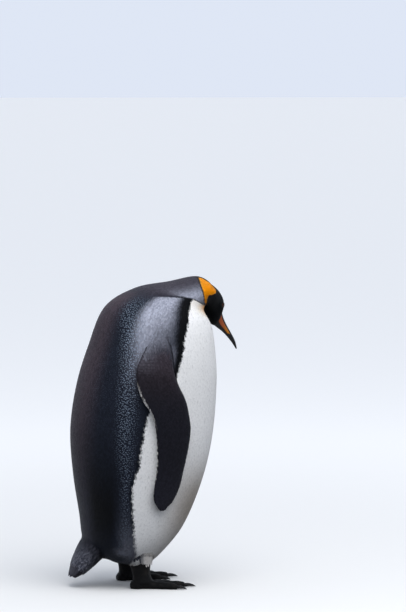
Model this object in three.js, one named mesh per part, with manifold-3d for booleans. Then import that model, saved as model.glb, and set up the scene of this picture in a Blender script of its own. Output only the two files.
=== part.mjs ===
// King penguin (Aptenodytes patagonicus): a still, life-size adult that stands hunched, with its
// shoulders drawn up and its head bowed over its breast and turned to its left.
// Millimetres. +X is forward (where the breast faces), +Y is the bird's left, +Z is up, and the
// floor is at z = 0. Every solid is the outer shape of the coat or of the bare part.
import * as THREE from "three";
import { mergeVertices } from "three/addons/utils/BufferGeometryUtils.js";
import Module from "manifold-3d";

const wasm = await Module();
wasm.setup();

// ---------- driving dimensions ----------
const GAP = 0.3; // clear space between two pieces that meet
const HEAD_TURN = 25; // degrees that the head turns to the bird's left
const TURN_AXIS_X = 105; // the head turns about an upright line through the neck
const EYE_RADIUS = 8;
const EYE_PROUD = 1.6; // how far the eye stands out of the face
const EYE_ANGLE = 83; // degrees round the head, from the crown to the eye
const LEG_X = -36;
const LEG_SPACING = 116; // between the middles of the two legs
const TOE_OUT = 6; // degrees that each foot points outwards
const WEB_BOTTOM = 1.5;
const WEB_THICK = 4;

// The body from vent to bill, as rings. A ring runs round a back point and a front point in the
// middle plane (x, z), and `half` is half its width. `stout` moves its widest place to the back.
const BODY = {
  vent: { back: [-112, 64], front: [-8, 47], half: 66, stout: 0 },
  thigh: { back: [-141, 95], front: [28, 77], half: 97, stout: 0 },
  hip: { back: [-150, 154], front: [71, 131], half: 116, stout: 0.04 },
  waist: { back: [-163, 240], front: [110, 222], half: 128, stout: 0.06 },
  belly: { back: [-168, 330], front: [132, 315], half: 134, stout: 0.06 },
  breast: { back: [-155, 420], front: [141, 420], half: 131, stout: 0.06 },
  chest: { back: [-130, 501], front: [138, 490], half: 123, stout: 0.04 },
  shoulder: { back: [-95, 583.5], front: [130, 542], half: 105, stout: 0 },
  neckBase: { back: [-30, 623], front: [114, 573], half: 80, stout: 0 },
  neck: { back: [43, 636.5], front: [116, 585], half: 59, stout: 0 },
  nape: { back: [100, 646], front: [119, 586], half: 47, stout: 0 },
  occiput: { back: [125, 633], front: [124, 577], half: 39, stout: 0 },
  ear: { back: [147.5, 618.5], front: [130, 566], half: 33, stout: 0 },
  eye: { back: [160.5, 602.5], front: [138, 552], half: 29, stout: 0 },
  lores: { back: [163, 585.5], front: [144.5, 542.5], half: 19.5, stout: 0 },
  billBase: { back: [166, 576], front: [150, 538.8], half: 10, stout: 0 },
};
const STATIONS = Object.values(BODY);
const at = (name) => Object.keys(BODY).indexOf(name);
const NECK_FROM = at("neckBase") + 1 / 3;
const EYE_AT = at("eye") - 0.25;
const RING_POINTS = 36;
const STEPS_PER_STATION = 3;

// The left flipper from the shoulder to the tip: the leading and the trailing edge (x, y, z) and
// the thickness.
const FLIPPER = [
  { lead: [9, 96, 539], trail: [-19, 95, 539], thick: 30 },
  { lead: [12, 117, 504], trail: [-39, 114, 503], thick: 32 },
  { lead: [16, 131, 458], trail: [-60, 126, 469], thick: 32 },
  { lead: [25, 136, 429], trail: [-62, 132, 437], thick: 30 },
  { lead: [40, 137, 396], trail: [-53, 140, 403], thick: 26 },
  { lead: [49, 136, 352], trail: [-36, 145, 374], thick: 22 },
  { lead: [49, 136, 327], trail: [-25, 146, 332], thick: 19 },
  { lead: [44, 134, 292], trail: [-23, 145, 295], thick: 17 },
  { lead: [36, 131, 254], trail: [-23, 142, 258], thick: 15 },
  { lead: [28, 128, 219], trail: [-28, 139, 220], thick: 12 },
  { lead: [14, 127, 188], trail: [-30, 137, 196], thick: 9 },
  { lead: [3, 128, 178], trail: [-24, 135, 183], thick: 6 },
  { lead: [-3, 130, 171], trail: [-16, 132, 172.5], thick: 3 },
];

// The tail from inside the rump to its tip, in the middle plane: a middle (x, z), half the
// thickness and half the width.
const TAIL = [
  { middle: [-97, 107], thick: 34, half: 56 },
  { middle: [-125, 80], thick: 29, half: 50 },
  { middle: [-145.5, 54.5], thick: 22.5, half: 43 },
  { middle: [-159.5, 35.5], thick: 15.5, half: 35 },
  { middle: [-170, 22], thick: 7.5, half: 23 },
];

// A leg from the foot up into the belly: height, half its length fore and aft, half its width and
// how far forward it is.
const LEG = [
  { z: 14, long: 22, half: 20, forward: 5 },
  { z: 27, long: 19, half: 17, forward: 2 },
  { z: 40, long: 20, half: 18, forward: 0 },
  { z: 58, long: 26, half: 25, forward: -2 },
  { z: 96, long: 34, half: 32, forward: -4 },
];

// The toes of the left foot: degrees away from straight ahead (more is outwards), the length up to
// the claw, and the claw's length.
const TOES = [
  { name: "inner", angle: -23, length: 72, claw: 21 },
  { name: "middle", angle: 0, length: 92, claw: 24 },
  { name: "outer", angle: 21, length: 77, claw: 21 },
];

// The closed bill in the head's own middle plane, from the feathers to the tip: the ridge, the
// line where its halves meet and the lower edge, each (x, z), and half the width.
const BILL = [
  { ridge: [166, 573.5], gape: [162, 565.5], chin: [151, 539.5], half: 8.6 },
  { ridge: [173.3, 555], gape: [169, 549], chin: [159, 534.3], half: 7.1 },
  { ridge: [183.8, 538], gape: [179.8, 534.4], chin: [171.8, 526.3], half: 5.7 },
  { ridge: [195.7, 522.5], gape: [191.5, 519.3], chin: [186, 514.8], half: 4.4 },
  { ridge: [207.8, 504.5], gape: [204, 502], chin: [200.5, 500.3], half: 2.8 },
  { ridge: [213.8, 487.5], gape: [212.3, 487.2], chin: [211, 487], half: 1.1 },
];

// ---------- shape helpers ----------
const X = new THREE.Vector3(1, 0, 0);
const Y = new THREE.Vector3(0, 1, 0);
const Z = new THREE.Vector3(0, 0, 1);
const radians = THREE.MathUtils.degToRad;
const times = (vector, amount) => vector.clone().multiplyScalar(amount);

// The value at t of a smooth (Catmull-Rom) curve through evenly numbered values.
function through(values, t) {
  const last = values.length - 1;
  const i = Math.min(Math.floor(Math.max(t, 0)), last - 1);
  const u = Math.min(Math.max(t, 0), last) - i;
  const [b, c] = [values[i], values[i + 1]];
  const a = i > 0 ? values[i - 1] : 2 * b - c;
  const d = i + 2 <= last ? values[i + 2] : 2 * c - b;
  return b + 0.5 * u * (c - a + u * (2 * a - 5 * b + 4 * c - d + u * (3 * (b - c) + d - a)));
}

// The same for a field of a list of stations: for a number, or for each number of a point.
function along(stations, field, t) {
  const values = stations.map((station) => station[field]);
  if (typeof values[0] === "number") return through(values, t);
  return values[0].map((_, k) => through(values.map((point) => point[k]), t));
}

// A point of the bird's middle plane.
const inPlane = ([x, z]) => new THREE.Vector3(x, 0, z);

// Points round an ellipse about a middle, with its two half axes.
const ellipse = (count, middle, first, second) =>
  Array.from({ length: count }, (_, j) => middle.clone()
    .addScaledVector(first, Math.cos((2 * Math.PI * j) / count))
    .addScaledVector(second, Math.sin((2 * Math.PI * j) / count)));

// Rings at every `step` of a list of stations.
const ringsAlong = (stations, step, ring) =>
  Array.from({ length: Math.round((stations.length - 1) / step) + 1 }, (_, i) => ring(i * step));

// Turns every face round if the closed surface is inside out.
function faceOutwards(geometry) {
  const index = geometry.index.array;
  const corner = (i) => new THREE.Vector3().fromBufferAttribute(geometry.attributes.position, index[i]);
  let volume = 0;
  for (let i = 0; i < index.length; i += 3) volume += corner(i).dot(corner(i + 1).cross(corner(i + 2)));
  if (volume < 0)
    for (let i = 0; i < index.length; i += 3)
      [index[i + 1], index[i + 2]] = [index[i + 2], index[i + 1]];
  return geometry;
}

// A closed surface through rings of equally many points, with a fan over each end.
function loft(rings) {
  const n = rings[0].length;
  const points = rings.flat();
  const faces = [];
  for (let r = 0; r + 1 < rings.length; r++)
    for (let j = 0; j < n; j++) {
      const [a, b] = [r * n + j, r * n + ((j + 1) % n)];
      faces.push(a, b, b + n, a, b + n, a + n);
    }
  for (const [ring, isFirst] of [[0, true], [rings.length - 1, false]]) {
    const middle = rings[ring].reduce((sum, point) => sum.add(point), new THREE.Vector3());
    const top = points.push(middle.divideScalar(n)) - 1;
    for (let j = 0; j < n; j++) {
      const [a, b] = [ring * n + j, ring * n + ((j + 1) % n)];
      faces.push(...(isFirst ? [b, a, top] : [a, b, top]));
    }
  }
  return faceOutwards(new THREE.BufferGeometry().setFromPoints(points).setIndex(faces));
}

// A three.js geometry as a manifold solid.
function solid(geometry) {
  const bare = geometry.clone();
  bare.deleteAttribute("normal");
  bare.deleteAttribute("uv");
  const merged = mergeVertices(bare, 1e-4);
  return new wasm.Manifold(new wasm.Mesh({
    numProp: 3,
    vertProperties: new Float32Array(merged.getAttribute("position").array),
    triVerts: new Uint32Array(merged.index.array),
  }));
}

// A manifold solid as a three.js geometry.
function geometryOf(made) {
  const mesh = made.getMesh();
  const points = new Float32Array(mesh.numVert * 3);
  for (let i = 0; i < mesh.numVert; i++)
    points.set(mesh.vertProperties.subarray(i * mesh.numProp, i * mesh.numProp + 3), i * 3);
  return new THREE.BufferGeometry()
    .setAttribute("position", new THREE.BufferAttribute(points, 3))
    .setIndex(new THREE.BufferAttribute(new Uint32Array(mesh.triVerts), 1));
}

// ---------- body: trunk, neck and head ----------
// Moves a point to where the head faces, by a share of the head's turn.
const turned = (point, share) => point.sub(times(X, TURN_AXIS_X))
  .applyAxisAngle(Z, radians(HEAD_TURN) * share).add(times(X, TURN_AXIS_X));

// A ring of the body at t, grown outwards by `grow` and moved towards the vent by `shift`.
function bodyRing(t, grow = 0, shift = 0) {
  const back = inPlane(along(STATIONS, "back", t));
  const middle = inPlane(along(STATIONS, "front", t)).add(back).divideScalar(2);
  const reach = back.sub(middle);
  const half = along(STATIONS, "half", t) + grow;
  const stout = along(STATIONS, "stout", t);
  middle.addScaledVector(reach.clone().cross(Y).normalize(), shift);
  reach.setLength(reach.length() + grow);
  const share = THREE.MathUtils.smoothstep(t, at("neckBase"), at("ear"));
  return Array.from({ length: RING_POINTS }, (_, j) => {
    const angle = (2 * Math.PI * j) / RING_POINTS;
    const side = half * Math.sin(angle) * (1 + stout * Math.cos(angle));
    return turned(middle.clone().addScaledVector(reach, Math.cos(angle)).setY(side), share);
  });
}

// The stretch of the body between two places, its cut ends drawn in by half a gap.
function bodyStretch(from, to, grow = 0) {
  const steps = Math.round((to - from) * STEPS_PER_STATION);
  return solid(loft(Array.from({ length: steps + 1 }, (_, i) => {
    const shift = i === 0 && from > 0 ? -GAP / 2 : i === steps ? GAP / 2 : 0;
    return bodyRing(from + ((to - from) * i) / steps, grow, shift);
  })));
}

// The trunk and the neck grown by the gap, to cut clear what grows out of them.
const grownBody = bodyStretch(0, at("nape"), GAP);

// The place on the head at t and some degrees round from the crown, and the way it faces.
function headSurface(t, degrees) {
  const spot = (step, turn) => {
    const place = ((degrees + turn + 360) / 360) * RING_POINTS;
    const low = Math.floor(place);
    const ring = bodyRing(t + step);
    return ring[low % RING_POINTS].lerp(ring[(low + 1) % RING_POINTS], place - low);
  };
  const here = spot(0, 0);
  const out = spot(0.2, 0).sub(spot(-0.2, 0)).cross(spot(0, 9).sub(spot(0, -9))).normalize();
  const inside = spot(0, 180).sub(here);
  return { here, out: out.dot(inside) > 0 ? out.negate() : out };
}

// ---------- flippers, tail, legs and feet: all of the left side ----------
// A flipper's section is blunt and thickest near the leading edge, and thin at the trailing one.
function flipperRing(t) {
  const lead = new THREE.Vector3(...along(FLIPPER, "lead", t));
  const chord = new THREE.Vector3(...along(FLIPPER, "trail", t)).sub(lead);
  const out = Z.clone().cross(chord).setLength(along(FLIPPER, "thick", t) / 2);
  return Array.from({ length: 16 }, (_, j) => {
    const angle = (2 * Math.PI * j) / 16;
    const across = (1 - Math.cos(angle)) / 2;
    return lead.clone().addScaledVector(chord, across)
      .addScaledVector(out, Math.sin(angle) * (1.15 - 0.6 * across));
  });
}
const flipper = () => solid(loft(ringsAlong(FLIPPER, 0.5, flipperRing))).subtract(grownBody);

function tailRing(t) {
  const slope = new THREE.Vector3(-0.74, 0, 0.67);
  return ellipse(20, inPlane(along(TAIL, "middle", t)), times(slope, along(TAIL, "thick", t)),
    times(Y, along(TAIL, "half", t)));
}
const tail = () => solid(loft(ringsAlong(TAIL, 0.5, tailRing))).subtract(grownBody);

function leg(grow = 0) {
  const ring = ({ z, long, half, forward }) => ellipse(18,
    new THREE.Vector3(LEG_X + forward, LEG_SPACING / 2, z - grow),
    times(X, long + grow), times(Y, half + grow));
  return solid(loft(LEG.map(ring)));
}

// The foot's own frame, with the middle toe along +X, as it stands on the floor.
const footFrame = new THREE.Matrix4().makeRotationZ(radians(TOE_OUT))
  .setPosition(LEG_X, LEG_SPACING / 2, 0);

// A round tapering finger along a toe: each ring is how far out, half the width, half the height
// and the height of the middle.
function finger(toe, count, rings) {
  const way = X.clone().applyAxisAngle(Z, radians(toe.angle));
  const across = Z.clone().cross(way);
  return solid(loft(rings.map(([far, half, high, middle]) =>
    ellipse(count, times(way, far).setZ(middle), times(across, half), times(Z, high))))
    .applyMatrix4(footFrame));
}

const toeSolid = (toe) => finger(toe, 12, [
  [-20, 9, 7, 6],
  [-12, 15, 11, 8],
  [6, 14, 11.5, 9],
  [toe.length * 0.45, 9.8, 8.6, 7.4],
  [toe.length * 0.8, 9, 7.8, 6.4],
  [toe.length - 3, 7.8, 6.2, 5.2],
  [toe.length, 6, 4.9, 4.8],
]);

const claw = (toe) => finger(toe, 12, [
  [toe.length + GAP, 4.6, 3.6, 4.9],
  [toe.length + toe.claw * 0.35, 4.2, 3.5, 5.1],
  [toe.length + toe.claw * 0.7, 2.8, 2.3, 3.9],
  [toe.length + toe.claw, 0.7, 0.6, 1.4],
]);

// The skin between the toes, a little hollowed between their ends.
function web() {
  const [inner, middle, outer] = TOES.map(({ angle, length }) =>
    new THREE.Vector2(length - 6, 0).rotateAround(new THREE.Vector2(), radians(angle)));
  const shape = new THREE.Shape().moveTo(-6, -8).lineTo(inner.x, inner.y);
  shape.quadraticCurveTo(inner.x + 2, (inner.y + middle.y) / 2, middle.x, middle.y);
  shape.quadraticCurveTo(outer.x + 2, (outer.y + middle.y) / 2, outer.x, outer.y);
  shape.lineTo(-6, 8);
  const sheet = new THREE.ExtrudeGeometry(shape, {
    depth: WEB_THICK,
    bevelEnabled: false,
    curveSegments: 5,
  });
  return solid(sheet.translate(0, 0, WEB_BOTTOM).applyMatrix4(footFrame));
}

// The toes and their web, cut flat where they stand on the floor and hollowed for the leg.
function foot() {
  const floor = solid(new THREE.BoxGeometry(400, 400, 40).translate(0, 0, -20));
  return TOES.reduce((made, toe) => made.add(toeSolid(toe)), web())
    .subtract(floor).subtract(leg(GAP));
}

// ---------- bill ----------
// Half of the closed bill, between the gape and its ridge or its chin, rounded like half an
// ellipse and kept half a gap from the other half.
function billHalf(edge) {
  return solid(loft(ringsAlong(BILL, 0.5, (t) => {
    const gape = inPlane(along(BILL, "gape", t));
    const rise = inPlane(along(BILL, edge, t)).sub(gape);
    const half = along(BILL, "half", t);
    const start = GAP / 2 / rise.length();
    return Array.from({ length: 13 }, (_, j) => {
      const angle = (Math.PI * j) / 12;
      const up = start + (1 - start) * Math.sin(angle);
      return turned(gape.clone().addScaledVector(rise, up).setY(half * Math.cos(angle)), 1);
    });
  })));
}

// ---------- the bird ----------
const plumage = { color: 0x2b3038, roughness: 0.65, metalness: 0 };
const slate = { color: 0x6b6a74, roughness: 0.7, metalness: 0 };
const black = { color: 0x101014, roughness: 0.55, metalness: 0 };
const scales = { color: 0x1b1a1c, roughness: 0.5, metalness: 0 };
const horn = { color: 0x0d0c0d, roughness: 0.3, metalness: 0 };
const billPlate = { color: 0xc0743c, roughness: 0.35, metalness: 0 };
const wet = { color: 0x20140e, roughness: 0.08, metalness: 0 };

const bird = new THREE.Group();
function add(name, geometry, look) {
  const mesh = new THREE.Mesh(geometry, new THREE.MeshStandardMaterial(look));
  mesh.name = name;
  bird.add(mesh);
}

// Adds a solid of the left side, and the same one on the right.
function addBoth(name, made, look) {
  const left = geometryOf(made);
  add(name.replace("SIDE", "left"), left, look);
  add(name.replace("SIDE", "right"), faceOutwards(left.clone().scale(1, -1, 1)), look);
}

let head = bodyStretch(at("nape"), at("billBase"));
for (const [name, degrees] of [["eye_left", EYE_ANGLE], ["eye_right", -EYE_ANGLE]]) {
  const { here, out } = headSurface(EYE_AT, degrees);
  const ball = (radius) => new THREE.SphereGeometry(radius, 12, 7)
    .translate(...here.clone().addScaledVector(out, EYE_PROUD - EYE_RADIUS));
  add(name, geometryOf(solid(ball(EYE_RADIUS))), wet);
  head = head.subtract(solid(ball(EYE_RADIUS + GAP)));
}
add("head", geometryOf(head), black);
add("neck", geometryOf(bodyStretch(NECK_FROM, at("nape"))), slate);
add("trunk", geometryOf(bodyStretch(0, NECK_FROM)), plumage);
add("tail", geometryOf(tail()), plumage);
add("bill_upper", geometryOf(billHalf("ridge")), horn);
add("bill_lower", geometryOf(billHalf("chin")), billPlate);
addBoth("flipper_SIDE", flipper(), plumage);
addBoth("leg_SIDE", leg().subtract(grownBody), scales);
addBoth("foot_SIDE", foot(), scales);
for (const toe of TOES) addBoth(`claw_SIDE_${toe.name}`, claw(toe), horn);

// The origin is the middle of the whole bird's box, at its base.
const box = new THREE.Box3().setFromObject(bird);
const middle = box.getCenter(new THREE.Vector3());
for (const mesh of bird.children) mesh.geometry.translate(-middle.x, -middle.y, -box.min.z);

export default bird;
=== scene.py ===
"""King penguin: a still, life-size model that stands hunched with its head bowed and turned left.

One skin runs over the trunk, neck, head, flippers, tail, legs and feet. Feathers are thin closed
vanes that grow from it in rows and lie towards the tail, smallest on the face. The bill, the eyes
and the claws are pieces of their own. Shapes are worked out in millimetres in the bird's own
frame: +X forward, +Y to its left, +Z up, floor at z = 0. Each limb is a surface P(t, a): t counts
the rows of its table from its root to its end, and a goes once round it.
"""

import math
from typing import NamedTuple

import bpy
import numpy as np
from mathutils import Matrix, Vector
from mathutils.bvhtree import BVHTree
from mathutils.kdtree import KDTree


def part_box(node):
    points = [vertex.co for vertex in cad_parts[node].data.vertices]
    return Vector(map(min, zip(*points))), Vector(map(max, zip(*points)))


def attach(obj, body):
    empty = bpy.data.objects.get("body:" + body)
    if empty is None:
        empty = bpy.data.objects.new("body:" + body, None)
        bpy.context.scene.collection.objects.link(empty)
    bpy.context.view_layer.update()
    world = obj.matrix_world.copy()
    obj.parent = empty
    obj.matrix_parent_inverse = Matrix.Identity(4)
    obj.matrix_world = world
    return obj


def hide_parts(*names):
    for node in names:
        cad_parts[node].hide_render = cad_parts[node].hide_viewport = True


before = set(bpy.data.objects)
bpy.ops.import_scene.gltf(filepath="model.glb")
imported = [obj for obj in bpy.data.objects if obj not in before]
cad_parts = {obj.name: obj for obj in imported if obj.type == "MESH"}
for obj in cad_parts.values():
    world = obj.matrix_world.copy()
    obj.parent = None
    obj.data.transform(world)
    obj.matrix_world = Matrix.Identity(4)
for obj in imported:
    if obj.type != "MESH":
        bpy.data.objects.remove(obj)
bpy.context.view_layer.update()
rng = np.random.default_rng(20)
ROUND = 2 * math.pi

# ---------- dimensions, in millimetres ----------
HEAD_TURN = math.radians(25)  # the head turns to the bird's left ...
TURN_AXIS_X = 105.0  # ... about an upright line through the neck
BILL_REACH = 108.8  # from that line to the bill's tip
BILL_TIP_X = TURN_AXIS_X + BILL_REACH * math.cos(HEAD_TURN)
# The frame's origin is the middle of the box, which is this far forward in the bird's own frame.
FRAME_SHIFT = BILL_TIP_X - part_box("bill_upper")[1].x * 1000

# The body from under the vent to the bill, as rings round a back and a front point.
# name: back x, back z, front x, front z, half the width, how far its widest place is to the back
BODY = {
    "under": (-84, 56, -38, 49, 30, 0),
    "vent": (-112, 64, -8, 47, 66, 0),
    "thigh": (-141, 95, 28, 77, 97, 0),
    "hip": (-150, 154, 71, 131, 116, 0.04),
    "waist": (-163, 240, 110, 222, 128, 0.06),
    "belly": (-168, 330, 132, 315, 134, 0.06),
    "breast": (-155, 420, 141, 420, 131, 0.06),
    "chest": (-130, 501, 138, 490, 123, 0.04),
    "shoulder": (-95, 583.5, 130, 542, 105, 0),
    "neck_base": (-30, 623, 114, 573, 80, 0),
    "neck": (43, 636.5, 116, 585, 59, 0),
    "nape": (100, 646, 119, 586, 47, 0),
    "occiput": (125, 633, 124, 577, 39, 0),
    "ear": (147.5, 618.5, 130, 566, 33, 0),
    "eye": (160.5, 602.5, 138, 552, 29, 0),
    "lores": (163, 585.5, 144.5, 542.5, 19.5, 0),
    "bill_base": (166, 576, 150, 538.8, 10, 0),
}
AT = {name: i for i, name in enumerate(BODY)}
BODY_TABLE = np.array(list(BODY.values()), float)
BODY_END = len(BODY) - 1.0

EYE_RADIUS = 8.0
EYE_PROUD = 1.6  # how far the eyeball's front stands out of the face
EYE_T = AT["eye"] - 0.25
EYE_ANGLE = math.radians(83)

# The left flipper from the shoulder to the tip.
# leading edge x, y, z; trailing edge x, y, z; thickness
FLIPPER_TABLE = np.array([
    (9, 96, 539, -19, 95, 539, 30),
    (12, 117, 504, -39, 114, 503, 32),
    (16, 131, 458, -60, 126, 469, 32),
    (25, 136, 429, -62, 132, 437, 30),
    (40, 137, 396, -53, 140, 403, 26),
    (49, 136, 352, -36, 145, 374, 22),
    (49, 136, 327, -25, 146, 332, 19),
    (44, 134, 292, -23, 145, 295, 17),
    (36, 131, 254, -23, 142, 258, 15),
    (28, 128, 219, -28, 139, 220, 12),
    (13.5, 127, 189, -28.5, 137, 197, 9),
    (3, 128, 179.5, -23, 135, 184.5, 6),
    (-3, 130, 173.5, -16, 132, 175.5, 3),
    (-7.5, 131, 171.2, -12, 131.5, 171.6, 1.4),
], float)
FLIPPER_END = len(FLIPPER_TABLE) - 1.0

# The tail from inside the rump to its tip: middle x, z; half its thickness; half its width.
TAIL_TABLE = np.array([
    (-97, 107, 34, 56),
    (-125, 80, 29, 50),
    (-145.5, 54.5, 22.5, 43),
    (-159.5, 35.5, 15.5, 35),
    (-170, 22, 7.5, 23),
], float)

LEG_X = -36.0
LEG_SPACING = 116.0
TOE_OUT = math.radians(6)
BARE_BELOW = 57.0  # legs are scaled under this height and feathered above it ...
FEET_FROM = -75.0  # ... and only forward of this, behind which is the tail
# A leg from the foot up into the belly: z; half its length and half its width; how far forward.
LEG_TABLE = np.array([
    (14, 22, 20, 5),
    (27, 19, 17, 2),
    (40, 20, 18, 0),
    (58, 26, 25, -2),
    (96, 34, 32, -4),
], float)


# ---------- surfaces as functions of two parameters ----------
def curve(table, t):
    """The smooth (Catmull-Rom) curve through the rows of a table, at row numbers t."""
    t = np.asarray(t, float)
    i = np.clip(np.floor(t), 0, len(table) - 2).astype(int)
    u = (t - i)[..., None]
    before = 2 * table[0] - table[1]
    after = 2 * table[-1] - table[-2]
    padded = np.concatenate([[before], table, [after]])
    a, b, c, d = (padded[i + k] for k in range(4))
    return b + 0.5 * u * (c - a + u * (2 * a - 5 * b + 4 * c - d + u * (3 * (b - c) + d - a)))


def smooth(low, high, x):
    """0 below low, 1 above high, and a smooth step between."""
    s = np.clip((x - low) / (high - low), 0, 1)
    return s * s * (3 - 2 * s)


def hump(x, middle, width):
    """exp(-((x - middle) / width)^2): 1 at the middle and fading to both sides."""
    return np.exp(-((x - middle) / width) ** 2)


def turned(points, share=1.0):
    """Turns points about the neck's upright line by a share of the head's turn."""
    angle = HEAD_TURN * share
    x = points[..., 0] - TURN_AXIS_X
    y = points[..., 1]
    turned_x = TURN_AXIS_X + x * np.cos(angle) - y * np.sin(angle)
    return np.stack([turned_x, x * np.sin(angle) + y * np.cos(angle), points[..., 2]], -1)


def body(t, a):
    """P(t,a) = M(t) + cos a (B(t)-F(t))/2 + sin a (1 + k(t) cos a) w(t) Y, turned at the head.

    B and F are the back and front points, M is half-way between them and w is half the width.
    """
    t, a = np.broadcast_arrays(np.asarray(t, float), np.asarray(a, float))
    back_x, back_z, front_x, front_z, half, stout = np.moveaxis(curve(BODY_TABLE, t), -1, 0)
    x = (back_x + front_x) / 2 + (back_x - front_x) / 2 * np.cos(a)
    z = (back_z + front_z) / 2 + (back_z - front_z) / 2 * np.cos(a)
    y = half * np.sin(a) * (1 + stout * np.cos(a))
    return turned(np.stack([x, y, z], -1), smooth(AT["neck_base"], AT["ear"], t))


def flipper(t, a):
    """P(t,a) = L(t) + c (T(t)-L(t)) + sin a (1.15 - 0.6 c) h(t) N, with c = (1 - cos a)/2.

    L and T are the leading and trailing edges, h is half the thickness and N is level and across
    the chord. It is the left flipper; a from 0 to pi is the side towards the body.
    """
    t, a = np.broadcast_arrays(np.asarray(t, float), np.asarray(a, float))
    row = curve(FLIPPER_TABLE, t)
    lead, chord, thick = row[..., :3], row[..., 3:6] - row[..., :3], row[..., 6]
    out = np.stack([-chord[..., 1], chord[..., 0], np.zeros_like(thick)], -1)
    out *= (thick / 2 / np.linalg.norm(out, axis=-1))[..., None]
    c = (1 - np.cos(a)) / 2
    return lead + chord * c[..., None] + out * (np.sin(a) * (1.15 - 0.6 * c))[..., None]


def tail(t, a):
    """P(t,a) = M(t) + cos a h(t) U + sin a w(t) Y, with U up and back across the tail."""
    t, a = np.broadcast_arrays(np.asarray(t, float), np.asarray(a, float))
    x, z, thick, half = np.moveaxis(curve(TAIL_TABLE, t), -1, 0)
    up = np.cos(a) * thick
    return np.stack([x - 0.74 * up, half * np.sin(a), z + 0.67 * up], -1)


def leg(t, a):
    """P(t,a) = (x0 + f(t) + l(t) cos a, y0 + w(t) sin a, z(t)): the left leg, an upright tube."""
    t, a = np.broadcast_arrays(np.asarray(t, float), np.asarray(a, float))
    z, long, half, forward = np.moveaxis(curve(LEG_TABLE, t), -1, 0)
    return np.stack([LEG_X + forward + long * np.cos(a), LEG_SPACING / 2 + half * np.sin(a), z], -1)


def unit(v):
    """The same ways, one long."""
    return v / np.maximum(np.linalg.norm(v, axis=-1, keepdims=True), 1e-9)


def frame_at(surface, t, a):
    """The point, the outward normal, and the lengths and ways of one step in t and in a."""
    step = 1e-3
    here = surface(t, a)
    along_t = (surface(t + step, a) - surface(t - step, a)) / (2 * step)
    along_a = (surface(t, a + step) - surface(t, a - step)) / (2 * step)
    normal = unit(np.cross(along_t, along_a))
    inward = surface(t, a + math.pi) - here
    normal = np.where(((normal * inward).sum(-1) > 0)[..., None], -normal, normal)
    return here, normal, along_t, along_a


def mirrored(points):
    """The same points on the bird's right side."""
    return points * np.array([1, -1, 1])


def right(surface):
    """A left limb's surface on the bird's right side."""
    return lambda t, a: mirrored(surface(t, a))


# ---------- meshes from arrays ----------
def grid_faces(rows, columns, closed=True):
    """Quads of a grid whose points are numbered row by row; closed joins last column to first."""
    r = np.arange(rows - 1)[:, None] * columns
    c = np.arange(columns if closed else columns - 1)[None, :]
    n = (c + 1) % columns
    return np.stack([r + c, r + n, r + n + columns, r + c + columns], -1).reshape(-1, 4)


def around(count):
    """Angles evenly spaced once round, as a row for a grid."""
    return np.linspace(0, ROUND, count, endpoint=False)[None, :]


NO_TRIANGLES = np.empty((0, 3), int)


def closed_tube(rings):
    """Points and faces of a tube through rings (k, n, 3), each end closed by a fan."""
    k, n = rings.shape[:2]
    points = np.concatenate([rings.reshape(-1, 3), rings[[0, -1]].mean(1)])
    j = np.arange(n)
    following = (j + 1) % n
    start = np.stack([following, j, np.full(n, k * n)], -1)
    end = np.stack([j + (k - 1) * n, following + (k - 1) * n, np.full(n, k * n + 1)], -1)
    return points, grid_faces(k, n), np.concatenate([start, end])


def joined(parts):
    """Several (points, quads, triangles) as one."""
    offsets = np.cumsum([0] + [len(p[0]) for p in parts[:-1]])
    points = np.concatenate([p[0] for p in parts])
    quads = np.concatenate([p[1] + o for p, o in zip(parts, offsets)])
    triangles = np.concatenate([p[2] + o for p, o in zip(parts, offsets)])
    return points, quads, triangles


def flipped(part):
    """The part with every face turned over."""
    points, quads, triangles = part
    return points, quads[:, ::-1], triangles[:, ::-1]


def outward(part):
    """The part with its faces turned out, whichever way they were: its volume tells."""
    points, quads, triangles = part
    corners = np.concatenate([quads[:, :3], quads[:, [0, 2, 3]], triangles])
    p, q, r = (points[corners[:, i]] for i in range(3))
    return flipped(part) if (p * np.cross(q, r)).sum() < 0 else part


def both_sides(part):
    """A left part, and its mirror image on the right, with the faces still turned out."""
    points, quads, triangles = part
    return joined([part, flipped((mirrored(points), quads, triangles))])


def in_frame(points):
    """Points in millimetres of the bird's own frame, in metres of the model's frame."""
    return (points - [FRAME_SHIFT, 0, 0]) / 1000


def add_mesh(name, part, smooth_shading=True):
    """A mesh object from (points in millimetres, quads, triangles), put into the frame."""
    points, quads, triangles = part
    corners = np.concatenate([quads.ravel(), triangles.ravel()]).astype(np.int32)
    sizes = np.concatenate([np.full(len(quads), 4), np.full(len(triangles), 3)])
    starts = np.concatenate([[0], np.cumsum(sizes)[:-1]]).astype(np.int32)
    mesh = bpy.data.meshes.new(name)
    mesh.vertices.add(len(points))
    mesh.vertices.foreach_set("co", in_frame(points).ravel())
    mesh.loops.add(len(corners))
    mesh.loops.foreach_set("vertex_index", corners)
    mesh.polygons.add(len(sizes))
    mesh.polygons.foreach_set("loop_start", starts)
    mesh.update(calc_edges=True)
    mesh.validate()
    if smooth_shading:
        mesh.shade_smooth()
    else:
        mesh.shade_flat()
    made = bpy.data.objects.new(name, mesh)
    bpy.context.scene.collection.objects.link(made)
    return made


def mesh_points(mesh):
    """A mesh's points, back in millimetres of the bird's own frame."""
    points = np.empty(len(mesh.vertices) * 3, np.float32)
    mesh.vertices.foreach_get("co", points)
    return points.reshape(-1, 3) * 1000.0 + [FRAME_SHIFT, 0, 0]


def settle(made):
    """Makes an object's modifiers final."""
    bpy.context.view_layer.update()
    shown = made.evaluated_get(bpy.context.evaluated_depsgraph_get())
    mesh = bpy.data.meshes.new_from_object(shown)
    made.modifiers.clear()
    made.data = mesh
    mesh.shade_smooth()


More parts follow.
